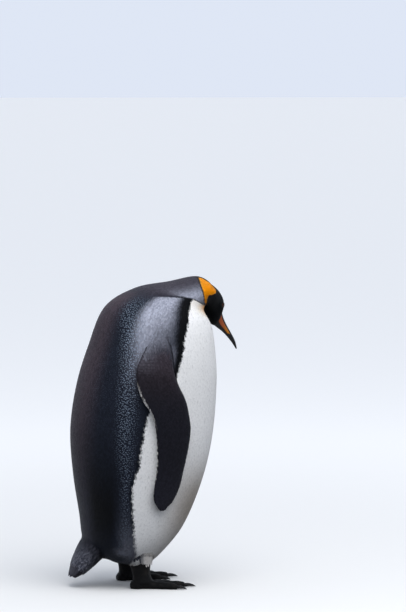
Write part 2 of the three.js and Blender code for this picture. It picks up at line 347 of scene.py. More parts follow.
def set_attribute(mesh, name, values):
    """A number at each point, for a material to read."""
    attribute = mesh.attributes.new(name, "FLOAT", "POINT")
    attribute.data.foreach_set("value", np.asarray(values, np.float32))


# ---------- markings, the same for skin and feathers ----------
# How white, how orange, how silvery, how warm a brown, how dark, and how dotted, each from 0 to 1.
# Some of the silver is painted highlight, some of the warm brown painted sheen and painted shade, and
# some of the dark painted shade.
MARKS = ("white", "orange", "silver", "warm", "dark", "speckle")


def stops(places):
    """A list of places turned into rows of numbers, for np.interp."""
    return np.array(places, float).T


# Along the body: the ring's number, and degrees round from the back to the white.
WHITE_EDGE = stops([(0, 96), (1.75, 94), (2.26, 86), (2.64, 80), (3.04, 76), (3.34, 74), (3.7, 71.5),
                    (3.95, 72.5), (4.27, 76), (4.95, 78), (5.43, 80), (5.8, 88), (6.2, 98),
                    (6.72, 104), (7.1, 106), (7.34, 106), (7.62, 108), (8.13, 111), (8.37, 110),
                    (8.83, 111), (9.07, 110), (9.44, 105), (9.6, 104)])
# Along the body: the ring's number, and degrees from the white to where the bar beside it is full.
BAR_WIDTH = stops([(5.6, 4), (7, 4), (8, 7), (8.6, 9), (9.3, 12)])
# Round the neck: degrees round from the back, and the ring's number.
PATCH_LOW = stops([(0, 10.95), (21, 10.91), (42, 10.77), (68, 10.6), (88, 10.48), (108, 10.31),
                   (136, 9.97), (180, 9.85)])
PATCH_HIGH = stops([(22, 10.95), (28, 11.04), (36, 11.08), (46, 11.24), (50, 11.66), (52, 11.95),
                    (60, 12.05), (68, 12.0), (80, 11.85), (88, 11.62), (98, 11.3), (103, 11.08),
                    (106, 10.69), (112, 10.56), (116, 10.5), (130, 10.33), (145, 10.12), (180, 10.0)])
NECK_LINE = stops([(0, 8.65), (47, 8.85), (59, 8.97), (70, 9.12), (82, 9.32), (96, 9.52), (106, 9.6),
                   (141, 9.6), (150, 9.7), (165, 9.95), (180, 9.95)])
# Round the neck: degrees round from the back, and how many rings the line's fading takes.
LINE_FADE = stops([(40, 0.7), (80, 0.08)])
# The pale dots on the back: ring, degrees where they are most, how wide, how much.
SPECKLES = stops([(0, 70, 10, 0.3), (2, 70, 12, 0.45), (3.5, 66, 12, 0.55), (4.5, 63, 13, 0.65),
                  (5.3, 63, 12, 0.7), (6.5, 60, 13, 0.8), (7.4, 55, 17, 0.8), (8.7, 38, 28, 0.55)])


def from_back(a):
    """Degrees round from the back, from 0 to 180 on either side."""
    return np.abs(np.degrees(np.arctan2(np.sin(a), np.cos(a))))


def white_marks(t, degrees, forward, over):
    """White forward of its edge, which wanders by sines of t, and under the neck's line; with it,
    how soiled and shaded the white is, part brownish dirt and part painted shade: most low down in
    front."""
    wander = 0.5 * np.sin(31 * t + 2 * np.sin(11 * t)) + 0.3 * np.sin(83 * t)
    soft = 1.1 + 3 * (1 - smooth(2.3, 2.9, t))
    white = smooth(-soft, soft, forward - wander) * (1 - smooth(-0.06, 0.0, over))
    # Part brownish dirt, part painted shade: the white duller and browner low down in front.
    soiled_and_shaded = smooth(95, 145, degrees) * (0.4 + 0.6 * hump(t, 3.4, 0.7)) * (1 - smooth(3.7, 4.9, t))
    return white * (1 - 0.4 * soiled_and_shaded), soiled_and_shaded


def patch_marks(t, degrees, on_head):
    """The patch from behind the ear down to the throat, a little weaker at its top."""
    patch = smooth(-0.02, 0.02, on_head)
    patch = patch * (1 - smooth(-0.03, 0.03, t - np.interp(degrees, *PATCH_HIGH)))
    return patch * smooth(20, 24, degrees) * (0.92 + 0.08 * smooth(50, 85, degrees))


def shoulder_marks(t, degrees, over):
    """The shoulder's silver, partly the grey's own and partly painted highlight: broad under the
    neck's line and fading towards the flipper's root.
    """
    silver = 0.8 * smooth(6.8, 8.2, t) * smooth(50, 66, degrees) * (1 - smooth(80, 103, degrees))
    # Painted highlight: the brightest place, high on the shoulder.
    silver = silver + 0.45 * hump(t, 7.3, 0.75) * hump(degrees, 66, 9)
    silver = silver + 0.2 * hump(t, 6.9, 0.4) * hump(degrees, 97, 5)
    return silver * (1 - smooth(-0.12, -0.02, over))


def dark_marks(t, degrees, forward, over, on_head):
    """The darkest of: the head, the bar beside the breast, a painted shade for the fold under the
    neck's line, the low back, and the edge beside the flank."""
    bar_width = np.interp(t, *BAR_WIDTH)
    bar = smooth(-2.6 * bar_width, -bar_width, forward) * smooth(5.4, 6.0, t)
    bar = bar * (1 - smooth(-0.1, 0.0, over))
    # Painted shade of a fold under the neck's line; the fold itself is not modelled.
    fold_shade = hump(over, -0.04, 0.07) * smooth(62, 92, degrees)
    low_back = smooth(16, 34, degrees) * (1 - smooth(50, 66, degrees)) * hump(t, 3.2, 1.3)
    by_flank = smooth(-5, -1, forward) * (1 - smooth(5.4, 6.0, t)) * smooth(1.8, 3, t)
    head = smooth(-0.09, -0.03, on_head)
    return np.max([head, bar, fold_shade, 0.95 * low_back, 0.5 * by_flank], axis=0)


def body_marks(t, a):
    """How much of each mark there is on the body at ring t and angle a.

    The edges are smooth steps in rings along the body and in degrees round from the back: forward
    is degrees past the white's edge, over is rings past the neck's line, and on_head is rings past
    the patch's lower edge.
    """
    degrees = from_back(a)
    forward = degrees - np.interp(t, *WHITE_EDGE)
    over = t - np.interp(degrees, *NECK_LINE)
    on_head = t - np.interp(degrees, *PATCH_LOW)
    white, soiled_and_shaded = white_marks(t, degrees, forward, over)
    patch = patch_marks(t, degrees, on_head)
    bib = white * smooth(8.2, 9.4, t) * (0.1 + 0.7 * smooth(118, 158, degrees))
    fade = np.interp(degrees, *LINE_FADE)
    above_line = smooth(0.06 - fade, 0.06 + fade, over)
    neck = above_line * (1 - smooth(-0.09, -0.04, on_head))
    # Paler silver on the neck's side, below the patch: partly the grey's own, partly painted
    # highlight.
    side_silver_and_highlight = hump(degrees, 99, 30) * smooth(9.1, 9.55, t)
    thigh = hump(t, 1.8, 0.9) * smooth(-26, -10, forward)
    vent = hump(t, 1.75, 0.25) * hump(degrees, 70, 10)
    shoulder = shoulder_marks(t, degrees, over)
    silver = neck * (0.03 + 0.8 * side_silver_and_highlight) + shoulder + 0.25 * thigh + 0.35 * vent
    dark = dark_marks(t, degrees, forward, over, on_head) * (1 - patch) * (1 - 0.7 * thigh)
    # Browner along the spine and higher up the back: partly the feathers' own worn brown, partly
    # painted sheen along the spine.
    back = (1 - smooth(16, 42, degrees)) * (1 - smooth(8.4, 9.2, t))
    back = back * (0.15 + 0.85 * smooth(3, 6.5, t))
    elbow = hump(t, 6.6, 0.5) * hump(degrees, 78, 14)
    # The warm brown also takes in the belly's soiled and shaded white: dirt and painted shade.
    warm = np.max([back, 0.6 * elbow, 0.5 * neck * (1 - side_silver_and_highlight), 0.8 * soiled_and_shaded], axis=0)
    middle, wide, most = (np.interp(t, SPECKLES[0], row) for row in SPECKLES[1:])
    speckle = np.maximum(hump(degrees, middle, wide) * most, 0.3 * smooth(3.5, 6, t))
    speckle = speckle * (1 - above_line) * (1 - 0.9 * dark) * (1 - smooth(72, 92, degrees))
    marks = [white, np.maximum(patch, bib), np.clip(silver, 0, 1), warm, dark,
             np.clip(speckle, 0, 1)]
    return np.stack(marks, -1)


def flipper_marks(t, a):
    """The outside is dark with a thin white trailing edge, and the inside is white with a dark
    leading edge and tip. c is 0 at the leading edge and 1 at the trailing one."""
    c = (1 - np.cos(a)) / 2
    inside = smooth(-0.05, 0.1, np.sin(a))
    lining = inside * smooth(0.16, 0.24, c) * (1 - smooth(8.6, 9.6, t)) * smooth(2.4, 3.4, t)
    edge = 0.85 * smooth(0.97, 0.992, c) * smooth(3.0, 3.8, t) * (1 - smooth(4.6, 6.0, t))
    white = np.maximum(lining, edge)
    warm = (0.6 * hump(t, 2.2, 1.5) + 0.2) * (1 - 0.8 * edge)
    # Near the root the silver carries on the shoulder's, partly painted highlight, lighter towards
    # the trailing edge.
    silver = 0.25 * (1 - smooth(0.3, 1.4, t)) + 0.1 * (1 - smooth(0.01, 0.04, c))
    silver = silver + 0.3 * smooth(0.4, 0.95, c) * (1 - smooth(0.6, 1.7, t)) * (1 - inside)
    # Lighter streaks along the folds behind the elbow: painted highlight on their ridges.
    folds = 0.5 + 0.5 * np.sin(36 * t + 2 * np.sin(3 * a))
    silver = silver + (0.04 + 0.1 * folds) * smooth(0.3, 1, c) * hump(t, 1.8, 0.7)
    dark = 0.55 * smooth(0.8, 2.6, t) * (1 - 0.4 * smooth(7, 10, t))
    nothing = np.zeros_like(white)
    return np.stack([white, nothing, silver * (1 - white), warm, dark, 0.22 * (1 - inside)], -1)


def tail_marks(t, a):
    """Dark as the low back at its root, with fine paler streaks that strengthen outwards."""
    t, a = np.broadcast_arrays(t, a)
    streak = (0.5 + 0.5 * np.sin(47 * a + 5 * np.sin(3 * t))) ** 2
    out = smooth(0.2, 2.6, t)
    nothing = np.zeros(t.shape)
    return np.stack([nothing, nothing, (0.12 + 0.4 * streak) * out, 0.15 + 0.45 * streak * out,
                     0.65 - 0.5 * out, nothing], -1)


def leg_marks(t, a):
    """The thigh's feathers: dark with paler streaks, and white in front."""
    t, a = np.broadcast_arrays(t, a)
    streak = (0.5 + 0.5 * np.sin(23 * a)) ** 2
    white = 0.8 * smooth(-0.3, 0.25, np.cos(a))
    nothing = np.zeros(t.shape)
    return np.stack([white, nothing, 0.3 * streak * (1 - white), 0.5 * white, 0.35 * (1 - white),
                     nothing], -1)


# ---------- how deep the coat is, in millimetres ----------
def body_depth(t, a):
    """Deepest on the back, sleek in front, thin on the face."""
    sleek = 1 - 0.4 * smooth(-0.1, 0.4, -np.cos(a)) * (1 - smooth(9, 11, t))
    return np.interp(t, [0, 2, 8.5, 10.5, 12, 14, 16], [2.0, 1.5, 1.4, 1.2, 0.9, 0.7, 0.5]) * sleek


def flipper_depth(t, a):
    """Thinning from the shoulder to the tip."""
    return np.interp(t, [0, 3, 12], [1.4, 0.8, 0.5]) + 0 * a


def root_depth(t, a):
    """A flipper's skin a little further in, for the filled join that its blade comes out of."""
    return flipper_depth(t, a) + 1.2


def tail_depth(t, a):
    """The same all over: the tail's long feathers are this deep."""
    return np.full(np.broadcast(t, a).shape, 3.5)


def leg_depth(t, a):
    """Nothing on the bare leg, and growing where the thigh's feathers begin."""
    return np.interp(t, [2, 3], [0.0, 2.2]) + 0 * a


class Limb(NamedTuple):
    """A surface with its last row, its markings, its coat's depth, and the way its feathers lie:
    1 towards higher t, -1 towards lower."""
    surface: object
    end: float
    marks: object
    depth: object
    lie: int


BODY_LIMB = Limb(body, BODY_END, body_marks, body_depth, -1)
FLIPPERS = {
    "left": Limb(flipper, FLIPPER_END, flipper_marks, flipper_depth, 1),
    "right": Limb(right(flipper), FLIPPER_END, flipper_marks, flipper_depth, 1),
}
TAIL_LIMB = Limb(tail, len(TAIL_TABLE) - 1.0, tail_marks, tail_depth, 1)
LEGS = {
    "left": Limb(leg, len(LEG_TABLE) - 1.0, leg_marks, leg_depth, -1),
    "right": Limb(right(leg), len(LEG_TABLE) - 1.0, leg_marks, leg_depth, -1),
}


def under_coat(limb, t, a):
    """The skin's points: the coat's outside drawn in by the coat's depth, P - depth N."""
    here, normal, _, _ = frame_at(limb.surface, t, a)
    return here - normal * limb.depth(t, a)[..., None]


def skin_tube(limb, low, high, rows, columns):
    """A closed tube of skin over a stretch of a limb."""
    t = np.linspace(low, high, rows)[:, None]
    return outward(closed_tube(under_coat(limb, t, around(columns))))


# ---------- feet ----------
# A toe: share of its length, half its width, half its height, the height of its middle.
TOE_TABLE = np.array([
    (-0.24, 8, 6, 6),
    (-0.15, 14, 10.5, 8),
    (0.07, 13.5, 11, 9),
    (0.25, 11.5, 9.8, 8.2),
    (0.45, 9.6, 8.4, 7.2),
    (0.65, 9.2, 8, 6.8),
    (0.82, 8.8, 7.6, 6.3),
    (0.95, 8, 6.6, 5.5),
    (1.0, 6.4, 5.2, 5.0),
    (1.02, 3.4, 3, 4.9),
], float)
# Each toe: degrees from the middle one, its length, and its claw's.
TOES = {"inner": (-23, 72, 21), "middle": (0, 92, 24), "outer": (21, 77, 21)}


def foot_place(points):
    """From the left foot's own frame, with the middle toe along +X, to where it stands."""
    c, s = math.cos(TOE_OUT), math.sin(TOE_OUT)
    x = LEG_X + points[..., 0] * c - points[..., 1] * s
    y = LEG_SPACING / 2 + points[..., 0] * s + points[..., 1] * c
    return np.stack([x, y, points[..., 2]], -1)


def toe_place(x, y, z, angle):
    """From a toe's own frame, with the toe along +X, to where it stands; angle is in degrees."""
    c, s = math.cos(math.radians(angle)), math.sin(math.radians(angle))
    return foot_place(np.stack([x * c - y * s, x * s + y * c, z], -1))


def toe_tube(angle, length):
    """Rings along a toe, x = s l and (y, z) round an ellipse, swollen at three joints.

    The sole is flat: z is never under 0.
    """
    t = np.linspace(0, len(TOE_TABLE) - 1, 64)
    share, half, high, middle = (v[:, None] for v in curve(TOE_TABLE, t).T)
    joints = sum(np.exp(-((share - j) / 0.07) ** 2) for j in (0.34, 0.6, 0.86))
    swell = 1 + 0.09 * joints - 0.05 * (share > 0.2) * (share < 0.95)
    a = around(28)
    y = half * swell * np.cos(a)
    z = np.maximum(middle + high * swell * np.sin(a), 0.0)
    x = np.broadcast_to(share * length, y.shape)
    return outward(closed_tube(toe_place(x, y, z, angle)))


def web_sheet(first, second):
    """The web between two toes: P(u,v) = u r(v) d(v), with d turning from one toe to the other,
    r hollowed by 4 v (1 - v) in the middle, and thinner towards the free edge."""
    u = np.linspace(0.06, 1, 22)[:, None]
    v = np.linspace(0, 1, 15)[None, :]
    hollow = 4 * v * (1 - v)
    angle = np.radians(first[0] + (second[0] - first[0]) * v)
    reach = (first[1] + (second[1] - first[1]) * v) * (0.93 - 0.17 * hollow)
    x, y = u * reach * np.cos(angle), u * reach * np.sin(angle)
    top = 8.2 - 4.2 * u - 1.0 * hollow * u
    bottom = top - 2.4 - 1.6 * (1 - u)
    points = [foot_place(np.stack([x, y, z], -1)).reshape(-1, 3) for z in (top, bottom)]
    rows, columns = x.shape
    faces = grid_faces(rows, columns, closed=False)
    index = np.arange(rows * columns).reshape(rows, columns)
    rim = np.concatenate([index[0, :-1], index[:-1, -1], index[-1, :0:-1], index[:0:-1, 0]])
    following = np.roll(rim, -1)
    wall = np.stack([rim, rim + index.size, following + index.size, following], -1)
    quads = np.concatenate([faces, faces[:, ::-1] + index.size, wall])
    return outward((np.concatenate(points), quads, NO_TRIANGLES))


def hind_toe():
    """The small first toe, low on the inside of the leg: a short finger, x = 20 s - 8, of rings
    that narrow as 1 - 0.55 s^2 and close at its tip."""
    s = np.linspace(0, 1, 12)[:, None]
    a = around(14)
    half = 5.2 * (1 - 0.55 * s ** 2) * np.sqrt(np.clip(1.02 - s ** 8, 0, 1))
    x = -8 + 20 * s + 0 * a
    y = -17 - 3 * s + half * np.cos(a)
    z = 12 - 4 * s + half * np.sin(a)
    return outward(closed_tube(foot_place(np.stack([x, y, z], -1))))


def bare_parts():
    """Both legs' shafts, toes and webs, as closed tubes that run into each other."""
    parts = [skin_tube(LEGS["left"], -0.15, 4, 60, 40), hind_toe()]
    parts += [toe_tube(angle, length) for angle, length, _ in TOES.values()]
    inner, middle, outer = TOES.values()
    parts += [web_sheet(inner, middle), web_sheet(middle, outer)]
    return both_sides(joined(parts))


# ---------- skin ----------
TRUNK_VOXEL, TRUNK_ROUNDS = 0.0034, 3  # metres, and rounds of smoothing
LEG_VOXEL, LEG_ROUNDS = 0.0016, 2
JOIN_GAP = 1.5  # two surfaces this near each other are at a join, in millimetres
JOIN_NEAR, JOIN_FAR, JOIN_ROUNDS = 12, 24, 45  # millimetres from a join, and rounds of filling


def one_surface(name, part, voxel, rounds):
    """Runs closed parts together into one smooth surface."""
    made = add_mesh(name, part)
    remesh = made.modifiers.new("one surface", "REMESH")
    remesh.mode = "VOXEL"
    remesh.voxel_size = voxel
    relax = made.modifiers.new("relax", "SMOOTH")
    relax.factor = 0.5
    relax.iterations = rounds
    settle(made)
    return made


def surface_grid(end, rows, columns):
    """t and a on a grid from a limb's root to row end, once round, and the grid's faces."""
    t, a = np.meshgrid(np.linspace(0, end, rows), np.linspace(0, ROUND, columns), indexing="ij")
    return t, a, grid_faces(rows, columns, closed=False)


def mark_skin(skin):
    """Gives each point of the skin the markings of the nearest place of the coat's surface."""
    points, quads, marks, count = [], [], [], 0
    for limb, rows, columns in ((BODY_LIMB, 400, 260), (FLIPPERS["left"], 200, 60),
                                (FLIPPERS["right"], 200, 60), (TAIL_LIMB, 40, 50)):
        t, a, faces = surface_grid(limb.end, rows, columns)
        points.append(limb.surface(t, a).reshape(-1, 3))
        marks.append(limb.marks(t, a).reshape(-1, len(MARKS)))
        quads.append(faces + count)
        count += rows * columns
    quads, marks = np.concatenate(quads), np.concatenate(marks)
    tree = BVHTree.FromPolygons(np.concatenate(points).tolist(), quads.tolist())
    nearest = np.array([tree.find_nearest(p)[2] for p in mesh_points(skin.data).tolist()])
    values = marks[quads[nearest, 0]]
    for i, mark in enumerate(MARKS):
        set_attribute(skin.data, mark, values[:, i])
    set_attribute(skin.data, "along", np.zeros(len(values)))
    set_attribute(skin.data, "vary", np.full(len(values), 0.5))


def joins(limbs):
    """Points along the lines where limbs come out of the trunk."""
    t, a, faces = surface_grid(BODY_END, 300, 200)
    trunk = BVHTree.FromPolygons(under_coat(BODY_LIMB, t, a).reshape(-1, 3).tolist(), faces.tolist())
    found = []
    for limb in limbs:
        t, a, _ = surface_grid(3, 90, 90)
        points = under_coat(limb, t, a).reshape(-1, 3)
        far = np.array([trunk.find_nearest(p)[3] for p in points.tolist()])
        found.append(points[far < JOIN_GAP])
    return np.concatenate(found)


def fill_joins(skin, limbs):
    """Fills the creases at the joins: each point near one moves again and again towards the mean
    of its neighbours, P <- P + share (mean - P), with a share of a half that fades to nothing."""
    lines = joins(limbs)
    tree = KDTree(len(lines))
    for i, p in enumerate(lines.tolist()):
        tree.insert(p, i)
    tree.balance()
    points = mesh_points(skin.data)
    far = np.array([tree.find(p)[2] for p in points.tolist()])
    share = (0.5 - 0.5 * smooth(JOIN_NEAR, JOIN_FAR, far))[:, None]
    ends = np.empty(len(skin.data.edges) * 2, np.int32)
    skin.data.edges.foreach_get("vertices", ends)
    first, second = ends.reshape(-1, 2).T
    size = len(points)
    beside = (np.bincount(first, minlength=size) + np.bincount(second, minlength=size))[:, None]
    for _ in range(JOIN_ROUNDS):
        total = np.stack([np.bincount(first, points[second, k], size)
                          + np.bincount(second, points[first, k], size) for k in range(3)], -1)
        points = points + share * (total / beside - points)
    skin.data.vertices.foreach_set("co", in_frame(points).ravel())


def make_skin():
    """One skin from bill to toes: the trunk with the rump and the roots of the flippers, their
    joins filled, then the flippers' blades, the lids and the legs joined on."""
    trunk = skin_tube(BODY_LIMB, 0, BODY_END + 0.12, 240, 160)
    rump = skin_tube(TAIL_LIMB, 0, 3.2, 40, 60)
    root = both_sides(skin_tube(FLIPPERS["left"]._replace(depth=root_depth), 0, 3.4, 60, 60))
    blade = both_sides(skin_tube(FLIPPERS["left"], 0, FLIPPER_END, 110, 48))
    skin = one_surface("skin", joined([trunk, rump, root]), TRUNK_VOXEL, TRUNK_ROUNDS)
    fill_joins(skin, (FLIPPERS["left"], TAIL_LIMB, FLIPPERS["right"]))
    rims = joined([lids(middle, way) for middle, way in zip(*eye_places())])
    added = [add_mesh("flipper_skin", blade), add_mesh("lid_skin", rims),
             one_surface("leg_skin", bare_parts(), LEG_VOXEL, LEG_ROUNDS)]
    for part in added:
        union = skin.modifiers.new(part.name, "BOOLEAN")
        union.operation = "UNION"
        union.object = part
        union.solver = "EXACT"
    settle(skin)
    for part in added:
        bpy.data.objects.remove(part)
    mark_skin(skin)
    return skin


def finish_skin(skin, feathered, scaled):
    """Gives the legs and feet their scales, up to where the feathers begin, and not the tail."""
    give([skin], feathered, scaled)
    middle = np.empty(len(skin.data.polygons) * 3, np.float32)
    skin.data.polygons.foreach_get("center", middle)
    x, _, z = (middle.reshape(-1, 3) * 1000 + [FRAME_SHIFT, 0, 0]).T
    bare = (z < BARE_BELOW) & (x > FEET_FROM)
    skin.data.polygons.foreach_set("material_index", bare.astype(np.int32))


# ---------- feathers ----------
# A feather's vane, from root to tip: how far along, how wide, how high above the skin.
VANE_ALONG = np.array([0, 0.3, 0.6, 0.82, 0.94, 1.0])
VANE_WIDE = np.array([0, 0.8, 1.0, 0.86, 0.5, 0])
VANE_HIGH = np.array([-0.15, 0.36, 0.72, 0.92, 1.0, 0.97])
# Its points: the root, then the left edge, the shaft and the right edge four times, and the tip.
VANE_POINTS = 14
VANE_QUADS = np.array([[r + i, r + (i + 1) % 3, r + 3 + (i + 1) % 3, r + 3 + i]
                       for r in (1, 4, 7) for i in range(3)])
VANE_TRIANGLES = np.array([[0, 1 + (i + 1) % 3, 1 + i] for i in range(3)]
                          + [[13, 10 + i, 10 + (i + 1) % 3] for i in range(3)])
VANE_POINT_ALONG = np.concatenate([[0], np.repeat(VANE_ALONG[1:5], 3), [1]])
VANE_POINT_SIDE = np.concatenate([[0], (VANE_WIDE[1:5, None] * [-1, 0, 1]).ravel(), [0]])
SHOWN_FROM, SHOWN_TO = 0.6, 0.95  # the part of a vane that the next ones leave in sight

FEATHERS_IN_PIECE = 8000  # keeps a piece under 200,000 triangles
BURIED = 7.0  # a root deeper in the skin than this is inside another limb
MOST_RINGS = 0.8  # a feather passes over no more rings than this, even where they are close
LEAST_TURN = 4.0  # millimetres to a radian round a limb, at the least
MOST_RAISED = 12.0  # what a filled join lifts a feather by at the most
STRAY_ALONG, STRAY_ROUND = 0.12, 0.13  # how far a root strays, as shares of the spacing
THINNED = 1.3  # where rows are this much closer than at their widest, roots are left out
PATCH_LONG, PATCH_WIDE = 0.003, 0.0015  # a feather's patch on the map: its length, and each way

# Feathers, in millimetres. Each row is a ring's number, the way from row to row, the way between
# feathers in a row, their length and their width.
BODY_FEATHERS = np.array([
    (0, 4.3, 3.5, 15.5, 4.9),
    (8.3, 4.1, 3.4, 15, 4.7),
    (9.3, 3.3, 2.7, 11.5, 3.8),
    (10.6, 2.8, 2.3, 9.5, 3.2),
    (11.6, 2.2, 1.7, 7.0, 2.4),
    (14.0, 1.8, 1.4, 5.2, 2.0),
    (16.0, 1.5, 1.2, 4.0, 1.7),
], float)
FLIPPER_FEATHERS = np.array([
    (0, 4.4, 3.6, 14, 5.0),
    (2.2, 3.6, 2.9, 11, 4.0),
    (12, 3.2, 2.6, 9, 3.6),
], float)
THIGH_FEATHERS = np.array([(0, 3.0, 2.2, 11, 2.6), (4, 3.0, 2.2, 13, 2.8)], float)
RUMP_FEATHERS = np.array([(0, 4.6, 3.0, 20, 3.9)], float)
# How feathers differ in size: the spread, the least and the most, as shares of the usual.
NEAT_BODY, NEAT_FLIPPER, LOOSE = (0.08, 0.8, 1.2), (0.07, 0.8, 1.2), (0.15, 0.7, 1.35)

NECK_FROM, HEAD_FROM = 8.9, 10.9  # rings where the coat's pieces begin
THIGH_FROM = 2.95  # the leg's row where its feathers begin
TAIL_LAYERS = (13, 12, 12)  # long feathers on top, under those, and on the underside
TAIL_ROOT, TAIL_TIP = 0.8, 3.95  # rows of the tail where they begin and about where they end


def by_place(table, column, t):
    """One column of a table of feathers, at rings t."""
    return np.interp(t, table[:, 0], table[:, column])


def feather_sizes(table, t, differ):
    """Lengths and widths at rings t, each feather a little larger or smaller than the next."""
    spread, least, most = differ
    size = np.clip(rng.normal(1, spread, len(t)), least, most)
    return by_place(table, 3, t) * size, by_place(table, 4, t) * size


def scatter(surface, low, high, table):
    """Roots in staggered rows: row i is at t_i, where the longest way from row to row is the row
    spacing, and its roots are evenly spaced round it; where the rows draw together some are left
    out, evenly, by a number that steps on by 0.7549 a row and 0.5698 a root."""
    fine_t = np.linspace(low, high, 500)
    fine_a = np.linspace(0, ROUND, 121)
    points = surface(fine_t[:, None], fine_a[None, :])
    steps = np.linalg.norm(np.diff(points, axis=0), axis=-1).max(1)
    rows_passed = np.concatenate([[0], np.cumsum(steps / by_place(table, 1, fine_t)[1:])])
    row_t = np.interp(np.arange(0.5, rows_passed[-1]), rows_passed, fine_t)
    found_t, found_a, turn = [], [], []
    for i, here in enumerate(row_t):
        ring = surface(here, fine_a)
        gone = np.concatenate([[0], np.cumsum(np.linalg.norm(np.diff(ring, axis=0), axis=-1))])
        count = max(int(round(gone[-1] / by_place(table, 2, here))), 3)
        stray = rng.uniform(-STRAY_ROUND, STRAY_ROUND, count)
        place = (np.arange(count) + 0.5 * (i % 2) + stray) / count
        found_a.append(np.interp(place % 1, gone / gone[-1], fine_a))
        found_t.append(np.full(count, here))
        turn.append((0.7549 * i + 0.5698 * np.arange(count)) % 1)
    t, a, turn = np.concatenate(found_t), np.concatenate(found_a), np.concatenate(turn)
    _, _, along_t, _ = frame_at(surface, t, a)
    widest = np.interp(t, fine_t[1:], steps / (high - low) * (len(fine_t) - 1))
    speed = np.linalg.norm(along_t, axis=-1)
    keep = turn < np.clip(THINNED * speed / widest, 0, 1)
    row_gap = by_place(table, 1, t) / np.maximum(widest, 1e-6)
    return (t + rng.uniform(-STRAY_ALONG, STRAY_ALONG, len(t)) * row_gap)[keep], a[keep]


def above_skin(skin_tree, points, heights):
    """Points that are lower over the skin than their height, raised to it along its normal."""
    found = [skin_tree.find_nearest(p) for p in points.tolist()]
    nearest = np.array([f[0] for f in found])
    normal = np.array([f[1] for f in found])
    short = heights - ((points - nearest) * normal).sum(-1)
    return points + normal * np.clip(short, 0, MOST_RAISED)[:, None]


def vanes(limb, feathers, spread, skin_tree):
    """Feathers, from their roots' t and a, lengths, widths and heights, lying along a limb.

    Point s of a feather's middle is P(t + s l cos(e) / |P_t|, a + s l sin(e) / |P_a|)
    + (h(s) lift - depth) N, with e a small random sway, so it follows the form, and it is raised
    where the skin fills a join. The vane's edges are to both sides of it and its shaft stands a
    little above them. Returns points and their marks.
    """
    t, a, length, width, lift = feathers
    _, _, along_t, along_a = frame_at(limb.surface, t, a)
    speed = np.maximum(np.linalg.norm(along_t, axis=-1), length / MOST_RINGS)
    turn = np.maximum(np.linalg.norm(along_a, axis=-1), LEAST_TURN)
    sway = np.radians(rng.normal(0, spread, len(t)))
    step_t = limb.lie * length * np.cos(sway) / speed
    step_a = length * np.sin(sway) / turn
    high = lift * rng.uniform(0.94, 1.05, len(t))
    middles, ups = [], []
    for s, h in zip(VANE_ALONG, VANE_HIGH):
        here, up, _, _ = frame_at(limb.surface, t + s * step_t, a + s * step_a)
        inset = limb.depth(t + s * step_t, a + s * step_a)
        middles.append(above_skin(skin_tree, here + up * (h * high - inset)[:, None], h * high))
        ups.append(up)
    lie = unit(middles[-1] - middles[0])
    points = [middles[0]]
    for k in (1, 2, 3, 4):
        side = unit(np.cross(ups[k], lie)) * (width / 2 * VANE_WIDE[k])[:, None]
        shaft = ups[k] * np.minimum(0.12 * lift, 0.14)[:, None]
        points += [middles[k] - side, middles[k] + shaft, middles[k] + side]
    points.append(middles[-1])
    shown = np.clip(VANE_POINT_ALONG, SHOWN_FROM, SHOWN_TO)[None, :]
    stray = rng.normal(0, 0.14 * width) / turn
    marks = limb.marks(t[:, None] + shown * step_t[:, None],
                       (a + stray)[:, None] + shown * step_a[:, None])
    return np.stack(points, 1), marks


def feather_meshes(name, limb, feathers, skin_tree, spread=4.0):
    """Feathers as joined meshes, with their marks, and a map that gives each feather a small
    patch at its root's place: (a / 2 pi, t / end)."""
    beneath = under_coat(limb, *feathers[:2])
    deep = np.array([skin_tree.find_nearest(p)[3] for p in beneath.tolist()])
    feathers = [values[deep < BURIED] for values in feathers]
    t, a = feathers[:2]
    points, marks = vanes(limb, feathers, spread, skin_tree)
    vary = rng.random(len(points))
    made = []
    for number, first in enumerate(range(0, len(points), FEATHERS_IN_PIECE), 1):
        some = slice(first, first + FEATHERS_IN_PIECE)
        count = len(points[some])
        base = (np.arange(count) * VANE_POINTS)[:, None, None]
        quads = (VANE_QUADS[None] + base).reshape(-1, 4)
        triangles = (VANE_TRIANGLES[None] + base).reshape(-1, 3)
        label = name if len(points) <= FEATHERS_IN_PIECE else f"{name}_{number}"
        part = outward((points[some].reshape(-1, 3), quads, triangles))
        piece = add_mesh(label, part, smooth_shading=False)
        for i, mark in enumerate(MARKS):
            set_attribute(piece.data, mark, marks[some, :, i].ravel())
        along, across = np.tile(VANE_POINT_ALONG, count), np.tile(VANE_POINT_SIDE, count)
        set_attribute(piece.data, "along", along)
        set_attribute(piece.data, "across", across)
        set_attribute(piece.data, "vary", np.repeat(vary[some], VANE_POINTS))
        u = np.repeat((a[some] / ROUND) % 1, VANE_POINTS) + PATCH_WIDE * across
        v = np.repeat(t[some] / limb.end, VANE_POINTS) + PATCH_LONG * (along - 0.5)
        map_points(piece.data, np.stack([u, v], -1))
        made.append(piece)
    return made


def map_points(mesh, places):
    """The map named OFBake, from a place for each of the mesh's points."""
    corners = np.empty(len(mesh.loops), np.int32)
    mesh.loops.foreach_get("vertex_index", corners)
    layer = mesh.uv_layers.new(name="OFBake")
    layer.data.foreach_set("uv", np.clip(places, 0.001, 0.999)[corners].astype(np.float32).ravel())


def eye_places():
    """Each eye's middle and the way it looks, in millimetres."""
    middles, ways = [], []
    for side in (1, -1):
        here, way, _, _ = frame_at(body, np.float64(EYE_T), np.float64(side * EYE_ANGLE))
        middles.append(here - way * (EYE_RADIUS - EYE_PROUD))
        ways.append(way)
    return np.array(middles), np.array(ways)


